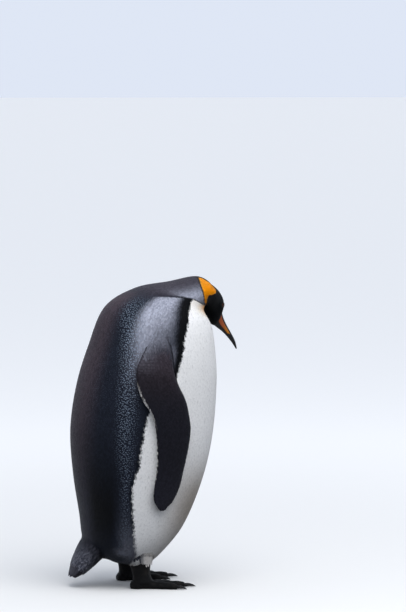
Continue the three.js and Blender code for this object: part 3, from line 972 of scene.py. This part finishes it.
def clear_of_eyes(t, a, length):
    """True for feathers that neither start nor lie nearer an eye's middle than its lids."""
    middles, _ = eye_places()
    _, _, along_t, _ = frame_at(body, t, a)
    step = length / np.linalg.norm(along_t, axis=-1)
    clear = np.ones(len(t), bool)
    for share in (0, 0.5, 1):
        here = body(t - share * step, a)
        far = np.linalg.norm(here[:, None] - middles[None], axis=-1) > EYE_RADIUS + 0.6
        clear &= far.all(1)
    return clear


def body_coat(skin_tree):
    """The coat of the trunk, neck and head, in pieces: the back, the belly, the neck and the head."""
    t, a = scatter(body, 0.15, BODY_END - 0.05, BODY_FEATHERS)
    length, width = feather_sizes(BODY_FEATHERS, t, NEAT_BODY)
    free = clear_of_eyes(t, a, length)
    front = from_back(a) > np.interp(t, *WHITE_EDGE) - 2
    made = []
    for name, slot, where in (
        ("feathers_back", "back_feathers", (t < NECK_FROM) & ~front),
        ("feathers_belly", "back_feathers", (t < NECK_FROM) & front),
        ("feathers_neck", "neck_feathers", (t >= NECK_FROM) & (t < HEAD_FROM)),
        ("feathers_head", "head_feathers", t >= HEAD_FROM),
    ):
        some = where & free
        lift = body_depth(t[some], a[some])
        feathers = (t[some], a[some], length[some], width[some], lift)
        made += feather_meshes(name, BODY_LIMB, feathers, skin_tree)
    return made


def flipper_coat(skin_tree):
    """The scale-like feathers of both flippers, in rows, none longer than the way to the tip."""
    made = []
    for side, limb in FLIPPERS.items():
        t, a = scatter(limb.surface, 0.1, FLIPPER_END - 0.05, FLIPPER_FEATHERS)
        length, width = feather_sizes(FLIPPER_FEATHERS, t, NEAT_FLIPPER)
        _, _, along_t, _ = frame_at(limb.surface, t, a)
        room = (FLIPPER_END - t) * np.linalg.norm(along_t, axis=-1)
        length = np.minimum(length, np.maximum(room, 2.0))
        made += feather_meshes("feathers_flipper_" + side, limb,
                               (t, a, length, width, flipper_depth(t, a)), skin_tree)
    return made


def thigh_coat(skin_tree):
    """Loose feathers that hang from the belly over the legs, beginning higher behind."""
    made = []
    for side, limb in LEGS.items():
        t, a = scatter(limb.surface, THIGH_FROM, 3.8, THIGH_FEATHERS)
        ragged = 0.3 * (1 - smooth(-0.6, 0.4, np.cos(a))) + rng.uniform(0, 0.25, len(t))
        kept = t > THIGH_FROM + ragged
        t, a = t[kept], a[kept]
        length, width = feather_sizes(THIGH_FEATHERS, t, LOOSE)
        made += feather_meshes("feathers_thigh_" + side, limb,
                               (t, a, length, width, leg_depth(t, a) + 0.8), skin_tree, spread=12.0)
    return made


def tail_coverts(skin_tree):
    """The feathers over the roots of the tail."""
    t, a = scatter(tail, 0.1, 2.3, RUMP_FEATHERS)
    length, width = feather_sizes(RUMP_FEATHERS, t, LOOSE)
    return feather_meshes("feathers_rump", TAIL_LIMB,
                          (t, a, length, width, tail_depth(t, a)), skin_tree, spread=8.0)


def tail_feather(layer, share):
    """One long stiff feather, at a share of the way across the tail from -1 to 1.

    It follows the tail's surface at one angle: P(t, a) drawn in by its layer's depth, for t from
    TAIL_ROOT; s goes from its root to its tip and v from edge to edge. Its width swells and then
    narrows to a worn tip, it is arched across, and a shaft stands up along its middle. Returns
    its part, and for each point how far along and across the feather it is and its place on the
    map.
    """
    s = np.linspace(0, 1, 22)[:, None]
    v = np.linspace(-1, 1, 7)[None, :]
    a = math.asin(share * 0.97)
    a = a if layer < 2 else math.pi - a
    reach = TAIL_TIP - 0.25 * (layer == 2) + 0.2 * (1 - share ** 2) + rng.uniform(-0.12, 0.12)
    t = TAIL_ROOT + (reach - TAIL_ROOT) * s
    here, up, along_t, _ = frame_at(tail, t, a + 0 * t)
    side = unit(np.cross(up, unit(along_t)))
    half = (4.6 - 0.8 * abs(share)) * np.sqrt(np.clip(1 - ((s - 0.62) / 0.66) ** 2, 0, 1))
    half = half * np.clip((1 - s) / 0.1, 0.12, 1) ** 0.6 + 0.3
    inset = 2.2 + 2.4 * (layer == 1) - 1.2 * s * (layer == 0)
    middle = here - up * inset[..., None]
    grid = middle + side * (half * v)[..., None] - up * (0.9 * v ** 2 + 0.15 * (v > 0))[..., None]
    thick = 0.35 + 0.5 * np.exp(-(v / 0.16) ** 2) * (1 - 0.7 * s)
    top = grid + up * thick[..., None] / 2
    under = grid - up * thick[..., None] / 2
    rings = np.concatenate([top, under[:, ::-1]], 1)
    along = np.broadcast_to(s, rings.shape[:2])
    across = np.broadcast_to(np.concatenate([v, v[:, ::-1]], 1), rings.shape[:2])
    u = (a / ROUND) % 1 + PATCH_WIDE * across
    place = np.stack([u, 0.2 + 0.05 * layer + PATCH_LONG * along], -1).reshape(-1, 2)
    along, across = np.append(along.ravel(), [0, 1]), np.append(across.ravel(), [0, 0])
    return outward(closed_tube(rings)), along, across, np.concatenate([place, place[[0, -1]]])


def tail_feathers():
    """Layers of long stiff tail feathers, fanned from the rump to the tail's edge."""
    parts, values, places = [], {"along": [], "across": [], "vary": []}, []
    for layer, count in enumerate(TAIL_LAYERS):
        for j in range(count):
            part, along, across, place = tail_feather(layer, (j + 0.5) / count * 2 - 1)
            parts.append(part)
            places.append(place)
            values["along"].append(along)
            values["across"].append(across)
            values["vary"].append(np.full(len(along), rng.random()))
    piece = add_mesh("tail_feathers", joined(parts))
    for name, found in values.items():
        set_attribute(piece.data, name, np.concatenate(found))
    for mark in MARKS:
        amount = {"dark": 0.3, "warm": 0.4, "silver": 0.12}.get(mark, 0.0)
        set_attribute(piece.data, mark, np.full(len(piece.data.vertices), amount))
    map_points(piece.data, np.concatenate(places))
    return piece


# ---------- bill, eyes and claws ----------
# The bill in the head's own middle plane: ridge, gape and chin (x, z) and half the width.
BILL_TABLE = np.array([
    (166, 573.5, 162, 565.5, 151, 539.5, 8.6),
    (173.3, 555, 169, 549, 159, 534.3, 7.1),
    (183.8, 538, 179.8, 534.4, 171.8, 526.3, 5.7),
    (195.7, 522.5, 191.5, 519.3, 186, 514.8, 4.4),
    (207.8, 504.5, 204, 502, 200.5, 500.3, 2.8),
    (213.8, 487.5, 212.3, 487.2, 211, 487, 1.1),
], float)


BILL_T = np.linspace(-0.25, len(BILL_TABLE) - 1, 94)[:, None]  # from inside the face to the tip
GAP = 0.04  # what keeps each half clear of the line between them


def bill_point(x, y, z):
    """A point of the head's own middle plane, or beside it, turned with the head."""
    return turned(np.stack([x, y, z], -1))


def bill_upper():
    """The upper half: y = w cos a, and sin a of the way from the gape up to the ridge.

    It narrows to the ridge, has a nostril's groove near the gape, and closes flat below.
    """
    ridge_x, ridge_z, gape_x, gape_z, _, _, half = np.moveaxis(curve(BILL_TABLE, BILL_T), -1, 0)
    a = around(48)
    sine = np.sin(a)
    rise = np.where(sine > 0, np.abs(sine) ** 0.9, -0.03 * np.abs(sine))
    groove = np.exp(-((np.abs(sine) - 0.5) / 0.13) ** 2)
    groove = groove * smooth(0.15, 0.6, BILL_T) * (1 - smooth(2.4, 3.4, BILL_T))
    side = half * np.cos(a) * (1 - 0.16 * groove * (sine > 0))
    x = gape_x + (ridge_x - gape_x) * rise + GAP
    z = gape_z + (ridge_z - gape_z) * rise + GAP
    return outward(closed_tube(bill_point(x, side, z)))


def bill_lower():
    """The lower half: y = w cos a, and sin a of the way from the gape down to the chin, with the
    plate standing proud on each side. Also how much of each point is plate, and how far along the
    plate it is."""
    _, _, gape_x, gape_z, chin_x, chin_z, half = np.moveaxis(curve(BILL_TABLE, BILL_T), -1, 0)
    a = around(64)
    sine = np.sin(a)
    drop = np.where(sine > 0, np.abs(sine) ** 1.1, -0.03 * np.abs(sine))
    end = 2.98 - 0.6 * np.clip(drop, 0, 1)
    plate = smooth(0.02, 0.08, drop) * (1 - smooth(0.54, 0.62, drop))
    plate = plate * (1 - smooth(end - 0.12, end + 0.12, BILL_T))
    side = half * np.cos(a) * (1 + 0.05 * plate)
    x = gape_x + (chin_x - gape_x) * drop - GAP
    z = gape_z + (chin_z - gape_z) * drop - GAP
    along = np.broadcast_to(BILL_T, x.shape).ravel() / 3
    part = outward(closed_tube(bill_point(x, side, z)))
    return part, np.append(plate.ravel(), [0, 0]), np.append(along, [0, 1])


def round_eye(way, polar, a):
    """Ways out of an eye: cos p W + sin p (cos a F + sin a U), where W is the way it looks, F is
    forward and down the face, U is square to both, and p is the angle from W."""
    down_face = np.array([1.6 * math.cos(HEAD_TURN), 1.6 * math.sin(HEAD_TURN), -1.0])
    forward = unit(np.cross(np.cross(way, down_face), way))
    up = np.cross(forward, way)
    return (np.cos(polar)[..., None] * way + (np.sin(polar) * np.cos(a))[..., None] * forward
            + (np.sin(polar) * np.sin(a))[..., None] * up)


def eyeball(middle, way):
    """A ball with a clearer bulge over the pupil; also how far round it each point is."""
    polar = np.linspace(0, math.pi, 40)[1:-1, None]
    radius = EYE_RADIUS * (1 + 0.035 * np.exp(-(polar / 0.45) ** 2))
    ball = middle + radius[..., None] * round_eye(way, polar, around(40))
    polar = np.broadcast_to(polar, ball.shape[:2]).ravel()
    return outward(closed_tube(ball)), np.append(polar, [0, math.pi])


def ring_solid(rings):
    """A solid like a bent washer: rings (k, n, 3) whose last row joins the first again."""
    k, n = rings.shape[:2]
    r = np.arange(k)[:, None]
    c = np.arange(n)[None, :]
    far, beside = (r + 1) % k * n, (c + 1) % n
    quads = np.stack([r * n + c, r * n + beside, far + beside, far + c], -1).reshape(-1, 4)
    return outward((rings.reshape(-1, 3), quads, NO_TRIANGLES))


def lids(middle, way):
    """Lids as a shell round the eyeball, from an almond-shaped opening to inside the head.

    Its profile runs along the eyeball to the rim and back over the outside, which has a fold near
    the rim and a fainter one further out. The rim is 37 degrees from the way the eye looks, less
    above and below it and more at its corners.
    """
    a = around(64)
    rim = np.radians(37 + 7 * np.abs(np.cos(a)) ** 2.2 - 4 * np.abs(np.sin(a)) ** 2)
    s = np.linspace(-1, 1, 29)[:, None]
    polar = rim + (math.radians(78) - rim) * np.abs(s)
    folds = 0.4 * np.exp(-((polar - rim - 0.13) / 0.1) ** 2)
    folds = folds + 0.25 * np.exp(-((polar - rim - 0.42) / 0.1) ** 2)
    radius = EYE_RADIUS + np.where(s < 0, 0.12, 0.75 + folds)
    return ring_solid(middle + radius[..., None] * round_eye(way, polar, a))


# A claw: how far past the toe's end, half its width, half its height, the height of its middle.
CLAW_TABLE = np.array([
    (-0.22, 4.0, 3.2, 5.0),
    (0.0, 4.4, 3.6, 5.0),
    (0.35, 4.1, 3.5, 5.1),
    (0.7, 2.8, 2.4, 3.9),
    (0.92, 1.3, 1.1, 2.2),
    (1.0, 0.4, 0.4, 1.5),
], float)


def claw(angle, length, reach):
    """A claw as rings along the toe's line: ellipses with a sharper ridge above than below."""
    rows = np.linspace(0, len(CLAW_TABLE) - 1, 40)
    share, half, high, middle = (v[:, None] for v in curve(CLAW_TABLE, rows).T)
    a = around(24)
    sine = np.sin(a)
    y = half * np.cos(a) * (1 - 0.22 * np.clip(sine, 0, 1))
    z = np.maximum(middle + high * sine, 0.3)
    x = length + reach * share + 0 * a
    return outward(closed_tube(toe_place(x, y, z, angle)))


# ---------- materials ----------
def colour(code):
    """An sRGB code such as "#a0b0c0" as the linear colour that a shader takes."""
    values = np.array([int(code[i:i + 2], 16) for i in (1, 3, 5)]) / 255
    linear = np.where(values <= 0.04045, values / 12.92, ((values + 0.055) / 1.055) ** 2.4)
    return (*linear.tolist(), 1.0)


def feed(tree, node, inputs):
    """Gives a node its inputs, by name or in order: plain values, or other nodes' outputs."""
    pairs = inputs.items() if isinstance(inputs, dict) else enumerate(inputs)
    for name, value in pairs:
        if isinstance(value, bpy.types.NodeSocket):
            tree.links.new(value, node.inputs[name])
        else:
            node.inputs[name].default_value = value


def add(tree, kind, inputs=(), output=0, **settings):
    """Adds a node with its settings and links, and returns one of its outputs."""
    made = tree.nodes.new("ShaderNode" + kind)
    for name, value in settings.items():
        setattr(made, name, value)
    feed(tree, made, inputs)
    return made.outputs[output]


# A smooth step takes a value, its low and high, and what it gives below and above them.
STEP = {"interpolation_type": "SMOOTHSTEP"}
# A mix of colours takes its share, the colour under and the colour over it, and gives the mixed.
SHARE, UNDER, OVER, MIXED = 0, 6, 7, 2
LAID = {"data_type": "RGBA", "blend_type": "MIX"}
TIMES = {"data_type": "RGBA", "blend_type": "MULTIPLY"}


def new_material(name):
    """A material, its nodes, and the shader that its inputs go to."""
    material = bpy.data.materials.new(name)
    material.use_nodes = True
    return material, material.node_tree, material.node_tree.nodes["Principled BSDF"]


def plumage(tree, shown, beside=0.0):
    """The bird's colours from its markings. shown is 1 at a feather's tip and 0 at its root, and
    beside is 1 at its edges and 0 along its shaft: pale dots are at the tips of the shafts."""
    white, orange, silver, warm, dark, speckle = (
        add(tree, "Attribute", output="Fac", attribute_name=name) for name in MARKS)
    reach = add(tree, "Math", (speckle, 0.17, shown), operation="MULTIPLY_ADD")
    tip = add(tree, "MapRange", (reach, 1.0, 1.05, 0.0, 1.0), **STEP)
    shaft = add(tree, "MapRange", (beside, 0.22, 0.45, 1.0, 0.0), **STEP)
    dot = add(tree, "MapRange", (speckle, 0.0, 0.8, 0.25, 1.0), **STEP)
    for share in (tip, shaft):
        dot = add(tree, "Math", (dot, share), operation="MULTIPLY")
    clean, soiled_and_shaded = colour("#f7f6f4"), colour("#cdbfae")
    lemon, gold = colour("#ffd56a"), colour("#fb9802")
    # The belly's white turns browner where it is soiled and where shade is painted on it.
    belly = add(tree, "Mix", {SHARE: warm, UNDER: clean, OVER: soiled_and_shaded}, MIXED, **LAID)
    patch = add(tree, "Mix", {SHARE: orange, UNDER: lemon, OVER: gold}, MIXED, **LAID)
    base = colour("#20242f")
    # The silver holds painted highlight, the warm brown some painted sheen and shade, the dark some
    # painted shade.
    for share, over in (
        (warm, colour("#493f46")),
        (silver, colour("#b9bccb")),
        (dot, colour("#a3b4c8")),
        (dark, colour("#040508")),
        (white, belly),
        (orange, patch),
    ):
        base = add(tree, "Mix", {SHARE: share, UNDER: base, OVER: over}, MIXED, **LAID)
    return base


BARB_WAVES = 70.0  # radians in a feather's length: a barb every 1.3 mm of the longest


def feather_material(name, gloss, sheen):
    """Feathers, of fine horny barbs that make them matt: the markings, each feather a little
    lighter or darker than the next, shade at its root, barbs aslant from its shaft, and a soft
    sheen. Real barbs are too fine to show, so these are several times as coarse."""
    material, tree, shader = new_material(name)
    along, across, vary, white = (add(tree, "Attribute", output="Fac", attribute_name=name)
                                  for name in ("along", "across", "vary", "white"))
    beside = add(tree, "Math", (across,), operation="ABSOLUTE")
    differ = add(tree, "MapRange", (white, 0.0, 1.0, 0.4, 0.07), **STEP)
    darker = add(tree, "Math", (vary, differ), operation="MULTIPLY")
    lighter = add(tree, "Math", (1.08, darker), operation="SUBTRACT")
    root = add(tree, "MapRange", (along, 0.4, 0.8, 0.8, 1.0), **STEP)
    shade = add(tree, "Math", (lighter, root), operation="MULTIPLY")
    base = plumage(tree, along, beside)
    slant = add(tree, "Math", (beside, -0.5, along), operation="MULTIPLY_ADD")
    barbs = add(tree, "Math", (slant, BARB_WAVES), operation="MULTIPLY")
    barbs = add(tree, "Math", (barbs,), operation="SINE")
    feed(tree, shader, {
        "Base Color": add(tree, "Mix", {SHARE: 1.0, UNDER: base, OVER: shade}, MIXED, **TIMES),
        "Normal": add(tree, "Bump", {"Height": barbs, "Distance": 0.05 / 1000, "Strength": 0.6}),
        "Roughness": add(tree, "MapRange", (white, 0.0, 1.0, gloss, 0.68), **STEP),
        "IOR": 1.45,
        "Specular IOR Level": 0.06,
        "Sheen Weight": sheen,
        "Sheen Roughness": 0.5,
    })
    return material


def skin_material():
    """The skin between the feathers: the same markings, duller, with a grain as fine as the
    smallest feathers, so that a gap in the coat doesn't show."""
    material, tree, shader = new_material("feathered_skin")
    base, duller = plumage(tree, 0.3), colour("#c4c4c8")
    place = add(tree, "TexCoord", output="Object")
    grain = add(tree, "TexNoise", {"Vector": place, "Scale": 1000 / 3.0, "Detail": 3.0})
    feed(tree, shader, {
        "Base Color": add(tree, "Mix", {SHARE: 1.0, UNDER: base, OVER: duller}, MIXED, **TIMES),
        "Normal": add(tree, "Bump", {"Height": grain, "Distance": 0.4 / 1000, "Strength": 1.0}),
        "Roughness": 0.8,
        "IOR": 1.45,
        "Specular IOR Level": 0.25,
    })
    return material


def scaled_material():
    """Bare horny skin of legs and feet: nearly black pebbled scales, each about 2.6 mm across and
    a little shiny, with dusty grey in the furrows and in patches of 14 mm."""
    material, tree, shader = new_material("scaled_skin")
    place = add(tree, "TexCoord", output="Object")
    furrow = add(tree, "TexVoronoi", {"Vector": place, "Scale": 1000 / 2.6, "Randomness": 0.8},
                 "Distance", feature="DISTANCE_TO_EDGE")
    scale = add(tree, "MapRange", (furrow, 0.02, 0.22, 0.0, 1.0), **STEP)
    dust = add(tree, "TexNoise", {"Vector": place, "Scale": 1000 / 14.0, "Detail": 3.0})
    dust = add(tree, "MapRange", (dust, 0.5, 0.75, 0.0, 0.25), **STEP)
    base = colour("#141313")
    for share, over in ((scale, colour("#060608")), (dust, colour("#3a3531"))):
        base = add(tree, "Mix", {SHARE: share, UNDER: base, OVER: over}, MIXED, **LAID)
    feed(tree, shader, {
        "Base Color": base,
        "Normal": add(tree, "Bump", {"Height": scale, "Distance": 0.5 / 1000, "Strength": 0.8}),
        "Roughness": add(tree, "MapRange", (scale, 0.0, 1.0, 0.75, 0.5), **STEP),
        "IOR": 1.5,
        "Specular IOR Level": 0.1,
    })
    return material


def horn_material(name, plated):
    """Black horn, grown in layers: half shiny, and worn greyer in streaks along it. On the lower
    bill it carries a smooth waxy plate, dull pink at its base and gold at its end."""
    material, tree, shader = new_material(name)
    place = add(tree, "TexCoord", output="Object")
    stretched = add(tree, "Mapping", {"Vector": place, "Scale": (1, 1, 0.25)})
    streaks = add(tree, "TexNoise", {"Vector": stretched, "Scale": 1000 / 2.2, "Detail": 4.0})
    worn = add(tree, "MapRange", (streaks, 0.5, 0.8, 0.0, 0.6), **STEP)
    layers = [(worn, colour("#211e1f"))]
    if plated:
        plate, along = (add(tree, "Attribute", output="Fac", attribute_name=name)
                        for name in ("plate", "along"))
        golden = add(tree, "MapRange", (along, 0.35, 1.0, 0.0, 1.0), **STEP)
        redder = add(tree, "TexNoise", {"Vector": place, "Scale": 1000 / 6.0, "Detail": 3.0})
        redder = add(tree, "MapRange", (redder, 0.4, 0.7, 0.0, 0.25), **STEP)
        wax = colour("#a5532f")
        for share, over in ((golden, colour("#d48a28")), (redder, colour("#a84e28"))):
            wax = add(tree, "Mix", {SHARE: share, UNDER: wax, OVER: over}, MIXED, **LAID)
        layers.append((plate, wax))
    base = colour("#09090b")
    for share, over in layers:
        base = add(tree, "Mix", {SHARE: share, UNDER: base, OVER: over}, MIXED, **LAID)
    feed(tree, shader, {
        "Base Color": base,
        "Normal": add(tree, "Bump", {"Height": streaks, "Distance": 0.12 / 1000, "Strength": 0.6}),
        "Roughness": 0.4,
        "IOR": 1.54,
        "Specular IOR Level": 0.14,
    })
    return material


def eye_material():
    """A wet eye, so it shines: black pupil, deep brown iris with fine rays, and near black round
    it. polar is the angle from the way the eye looks."""
    material, tree, shader = new_material("eye")
    polar = add(tree, "Attribute", output="Fac", attribute_name="polar")
    place = add(tree, "TexCoord", output="Object")
    rays = add(tree, "TexNoise", {"Vector": place, "Scale": 1000 / 0.9, "Detail": 4.0})
    deep, brown = colour("#1d0d08"), colour("#4d2714")
    iris = add(tree, "Mix", {SHARE: rays, UNDER: deep, OVER: brown}, MIXED, **LAID)
    past_pupil = add(tree, "MapRange", (polar, 0.27, 0.3, 0.0, 1.0), **STEP)
    past_iris = add(tree, "MapRange", (polar, 0.58, 0.66, 0.0, 1.0), **STEP)
    base = colour("#020202")
    for share, over in ((past_pupil, iris), (past_iris, colour("#0c0a0a"))):
        base = add(tree, "Mix", {SHARE: share, UNDER: base, OVER: over}, MIXED, **LAID)
    feed(tree, shader, {
        "Base Color": base,
        "Roughness": 0.07,
        "IOR": 1.38,
        "Specular IOR Level": 0.16,
    })
    return material


def seen_rays(tree):
    """1 where a ray from the camera looks, straight or by way of gloss or glass, and else 0."""
    seen = 0.0
    for ray in ("Is Camera Ray", "Is Glossy Ray", "Is Transmission Ray"):
        looks = add(tree, "LightPath", output=ray)
        seen = add(tree, "Math", (seen, looks), operation="MAXIMUM")
    return seen


def floor_material():
    """A pale matt floor that fades into the pale distance. It throws back less light than it
    shows, as dull ground would."""
    material, tree, shader = new_material("pale_floor")
    seen = seen_rays(tree)
    dull, pale = colour("#45433f"), colour("#e9e8e5")
    place = add(tree, "TexCoord", output="Object")
    far = add(tree, "VectorMath", (place,), "Value", operation="LENGTH")
    haze = add(tree, "MapRange", (far, 0.3, 3.0, 0.0, 0.28), **STEP)
    feed(tree, shader, {
        "Base Color": add(tree, "Mix", {SHARE: seen, UNDER: dull, OVER: pale}, MIXED, **LAID),
        "Roughness": 0.9,
        "Specular IOR Level": 0.1,
        "Emission Color": colour("#f4f6fa"),
        "Emission Strength": add(tree, "Math", (seen, haze), operation="MULTIPLY"),
    })
    return material


def give(pieces, *materials):
    """Gives each piece these materials and no others."""
    for piece in pieces:
        piece.data.materials.clear()
        for material in materials:
            piece.data.materials.append(material)


# ---------- the bird ----------
FLESH = ("trunk", "neck", "head", "tail", "flipper_left", "flipper_right", "leg_left", "leg_right",
         "foot_left", "foot_right")

skin = make_skin()
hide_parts(*FLESH)
skin_tree = BVHTree.FromPolygons(mesh_points(skin.data).tolist(),
                                 [p.vertices[:] for p in skin.data.polygons])

coat = body_coat(skin_tree) + flipper_coat(skin_tree) + thigh_coat(skin_tree)
coat += [*tail_coverts(skin_tree), tail_feathers()]

upper = add_mesh("upper_bill", bill_upper())
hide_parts("bill_upper")
part, plate, along = bill_lower()
lower = add_mesh("lower_bill", part)
set_attribute(lower.data, "plate", plate)
set_attribute(lower.data, "along", along)
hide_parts("bill_lower")

eyes = []
for side, middle, way in zip(("left", "right"), *eye_places()):
    part, polar = eyeball(middle, way)
    eyes.append(add_mesh("eyeball_" + side, part))
    set_attribute(eyes[-1].data, "polar", polar)
    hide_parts("eye_" + side)

claws = []
for side in ("left", "right"):
    for toe, (angle, length, reach) in TOES.items():
        part = claw(angle, length, reach)
        part = part if side == "left" else outward((mirrored(part[0]), *part[1:]))
        claws.append(add_mesh(f"{toe}_claw_{side}", part))
        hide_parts(f"claw_{side}_{toe}")

# ---------- finishes ----------
silky = feather_material("body_feathers", gloss=0.45, sheen=0.008)
velvet = feather_material("head_feathers", gloss=0.5, sheen=0.0)
give([piece for piece in coat if "head" not in piece.name], silky)
give([piece for piece in coat if "head" in piece.name], velvet)
finish_skin(skin, skin_material(), scaled_material())
give([upper, *claws], horn_material("black_horn", plated=False))
give([lower], horn_material("plated_horn", plated=True))
give(eyes, eye_material())

for piece in [skin, *coat, upper, lower, *eyes, *claws]:
    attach(piece, "root")

# ---------- floor, light and camera ----------
FLOOR_HALF = 400_000.0  # millimetres from the middle of the floor to its edges
LOOK_AT = Vector((-FRAME_SHIFT / 1000, 0, 0.3))  # metres, as are the next places and sizes
CAMERA_AWAY = 6.5
LAMP_PLACE, LAMP_AIM = Vector((0.2, -1.5, 3.2)), Vector((0, 0, 0.35))


def towards(bearing, rise):
    """(sin b cos r, cos b cos r, sin r): b degrees from +Y towards +X, and r degrees up."""
    b, r = math.radians(bearing), math.radians(rise)
    return Vector((math.sin(b) * math.cos(r), math.cos(b) * math.cos(r), math.sin(r)))


def put(name, data, place, ahead):
    """A lamp or a camera at a place, looking ahead."""
    made = bpy.data.objects.new(name, data)
    bpy.context.scene.collection.objects.link(made)
    made.location = place
    made.rotation_euler = ahead.to_track_quat("-Z", "Y").to_euler()
    return made


corners = np.array([(-1, -1, 0), (1, -1, 0), (1, 1, 0), (-1, 1, 0)]) * FLOOR_HALF
floor = add_mesh("floor", (corners, np.array([[0, 1, 2, 3]]), NO_TRIANGLES), smooth_shading=False)
give([floor], floor_material())

# An overcast sky, a little brighter to the eye than the light that it gives.
world = bpy.data.worlds.new("overcast")
world.use_nodes = True
tree = world.node_tree
strength = add(tree, "MapRange", (seen_rays(tree), 0.0, 1.0, 0.82, 0.95))
feed(tree, tree.nodes["Background"], {"Color": colour("#e4ecfb"), "Strength": strength})

lamp = bpy.data.lights.new("soft_top", "AREA")
lamp.shape, lamp.size, lamp.energy = "DISK", 3.4, 85.0
put("soft_top", lamp, LAMP_PLACE, LAMP_AIM - LAMP_PLACE)

lens = bpy.data.cameras.new("camera")
lens.sensor_fit, lens.sensor_height, lens.lens = "VERTICAL", 24.0, 121.38
camera = put("camera", lens, LOOK_AT + CAMERA_AWAY * towards(195.0, 6.5), towards(15.986, -3.994))

scene = bpy.context.scene
scene.world = world
scene.camera = camera
scene.view_settings.view_transform = "Standard"
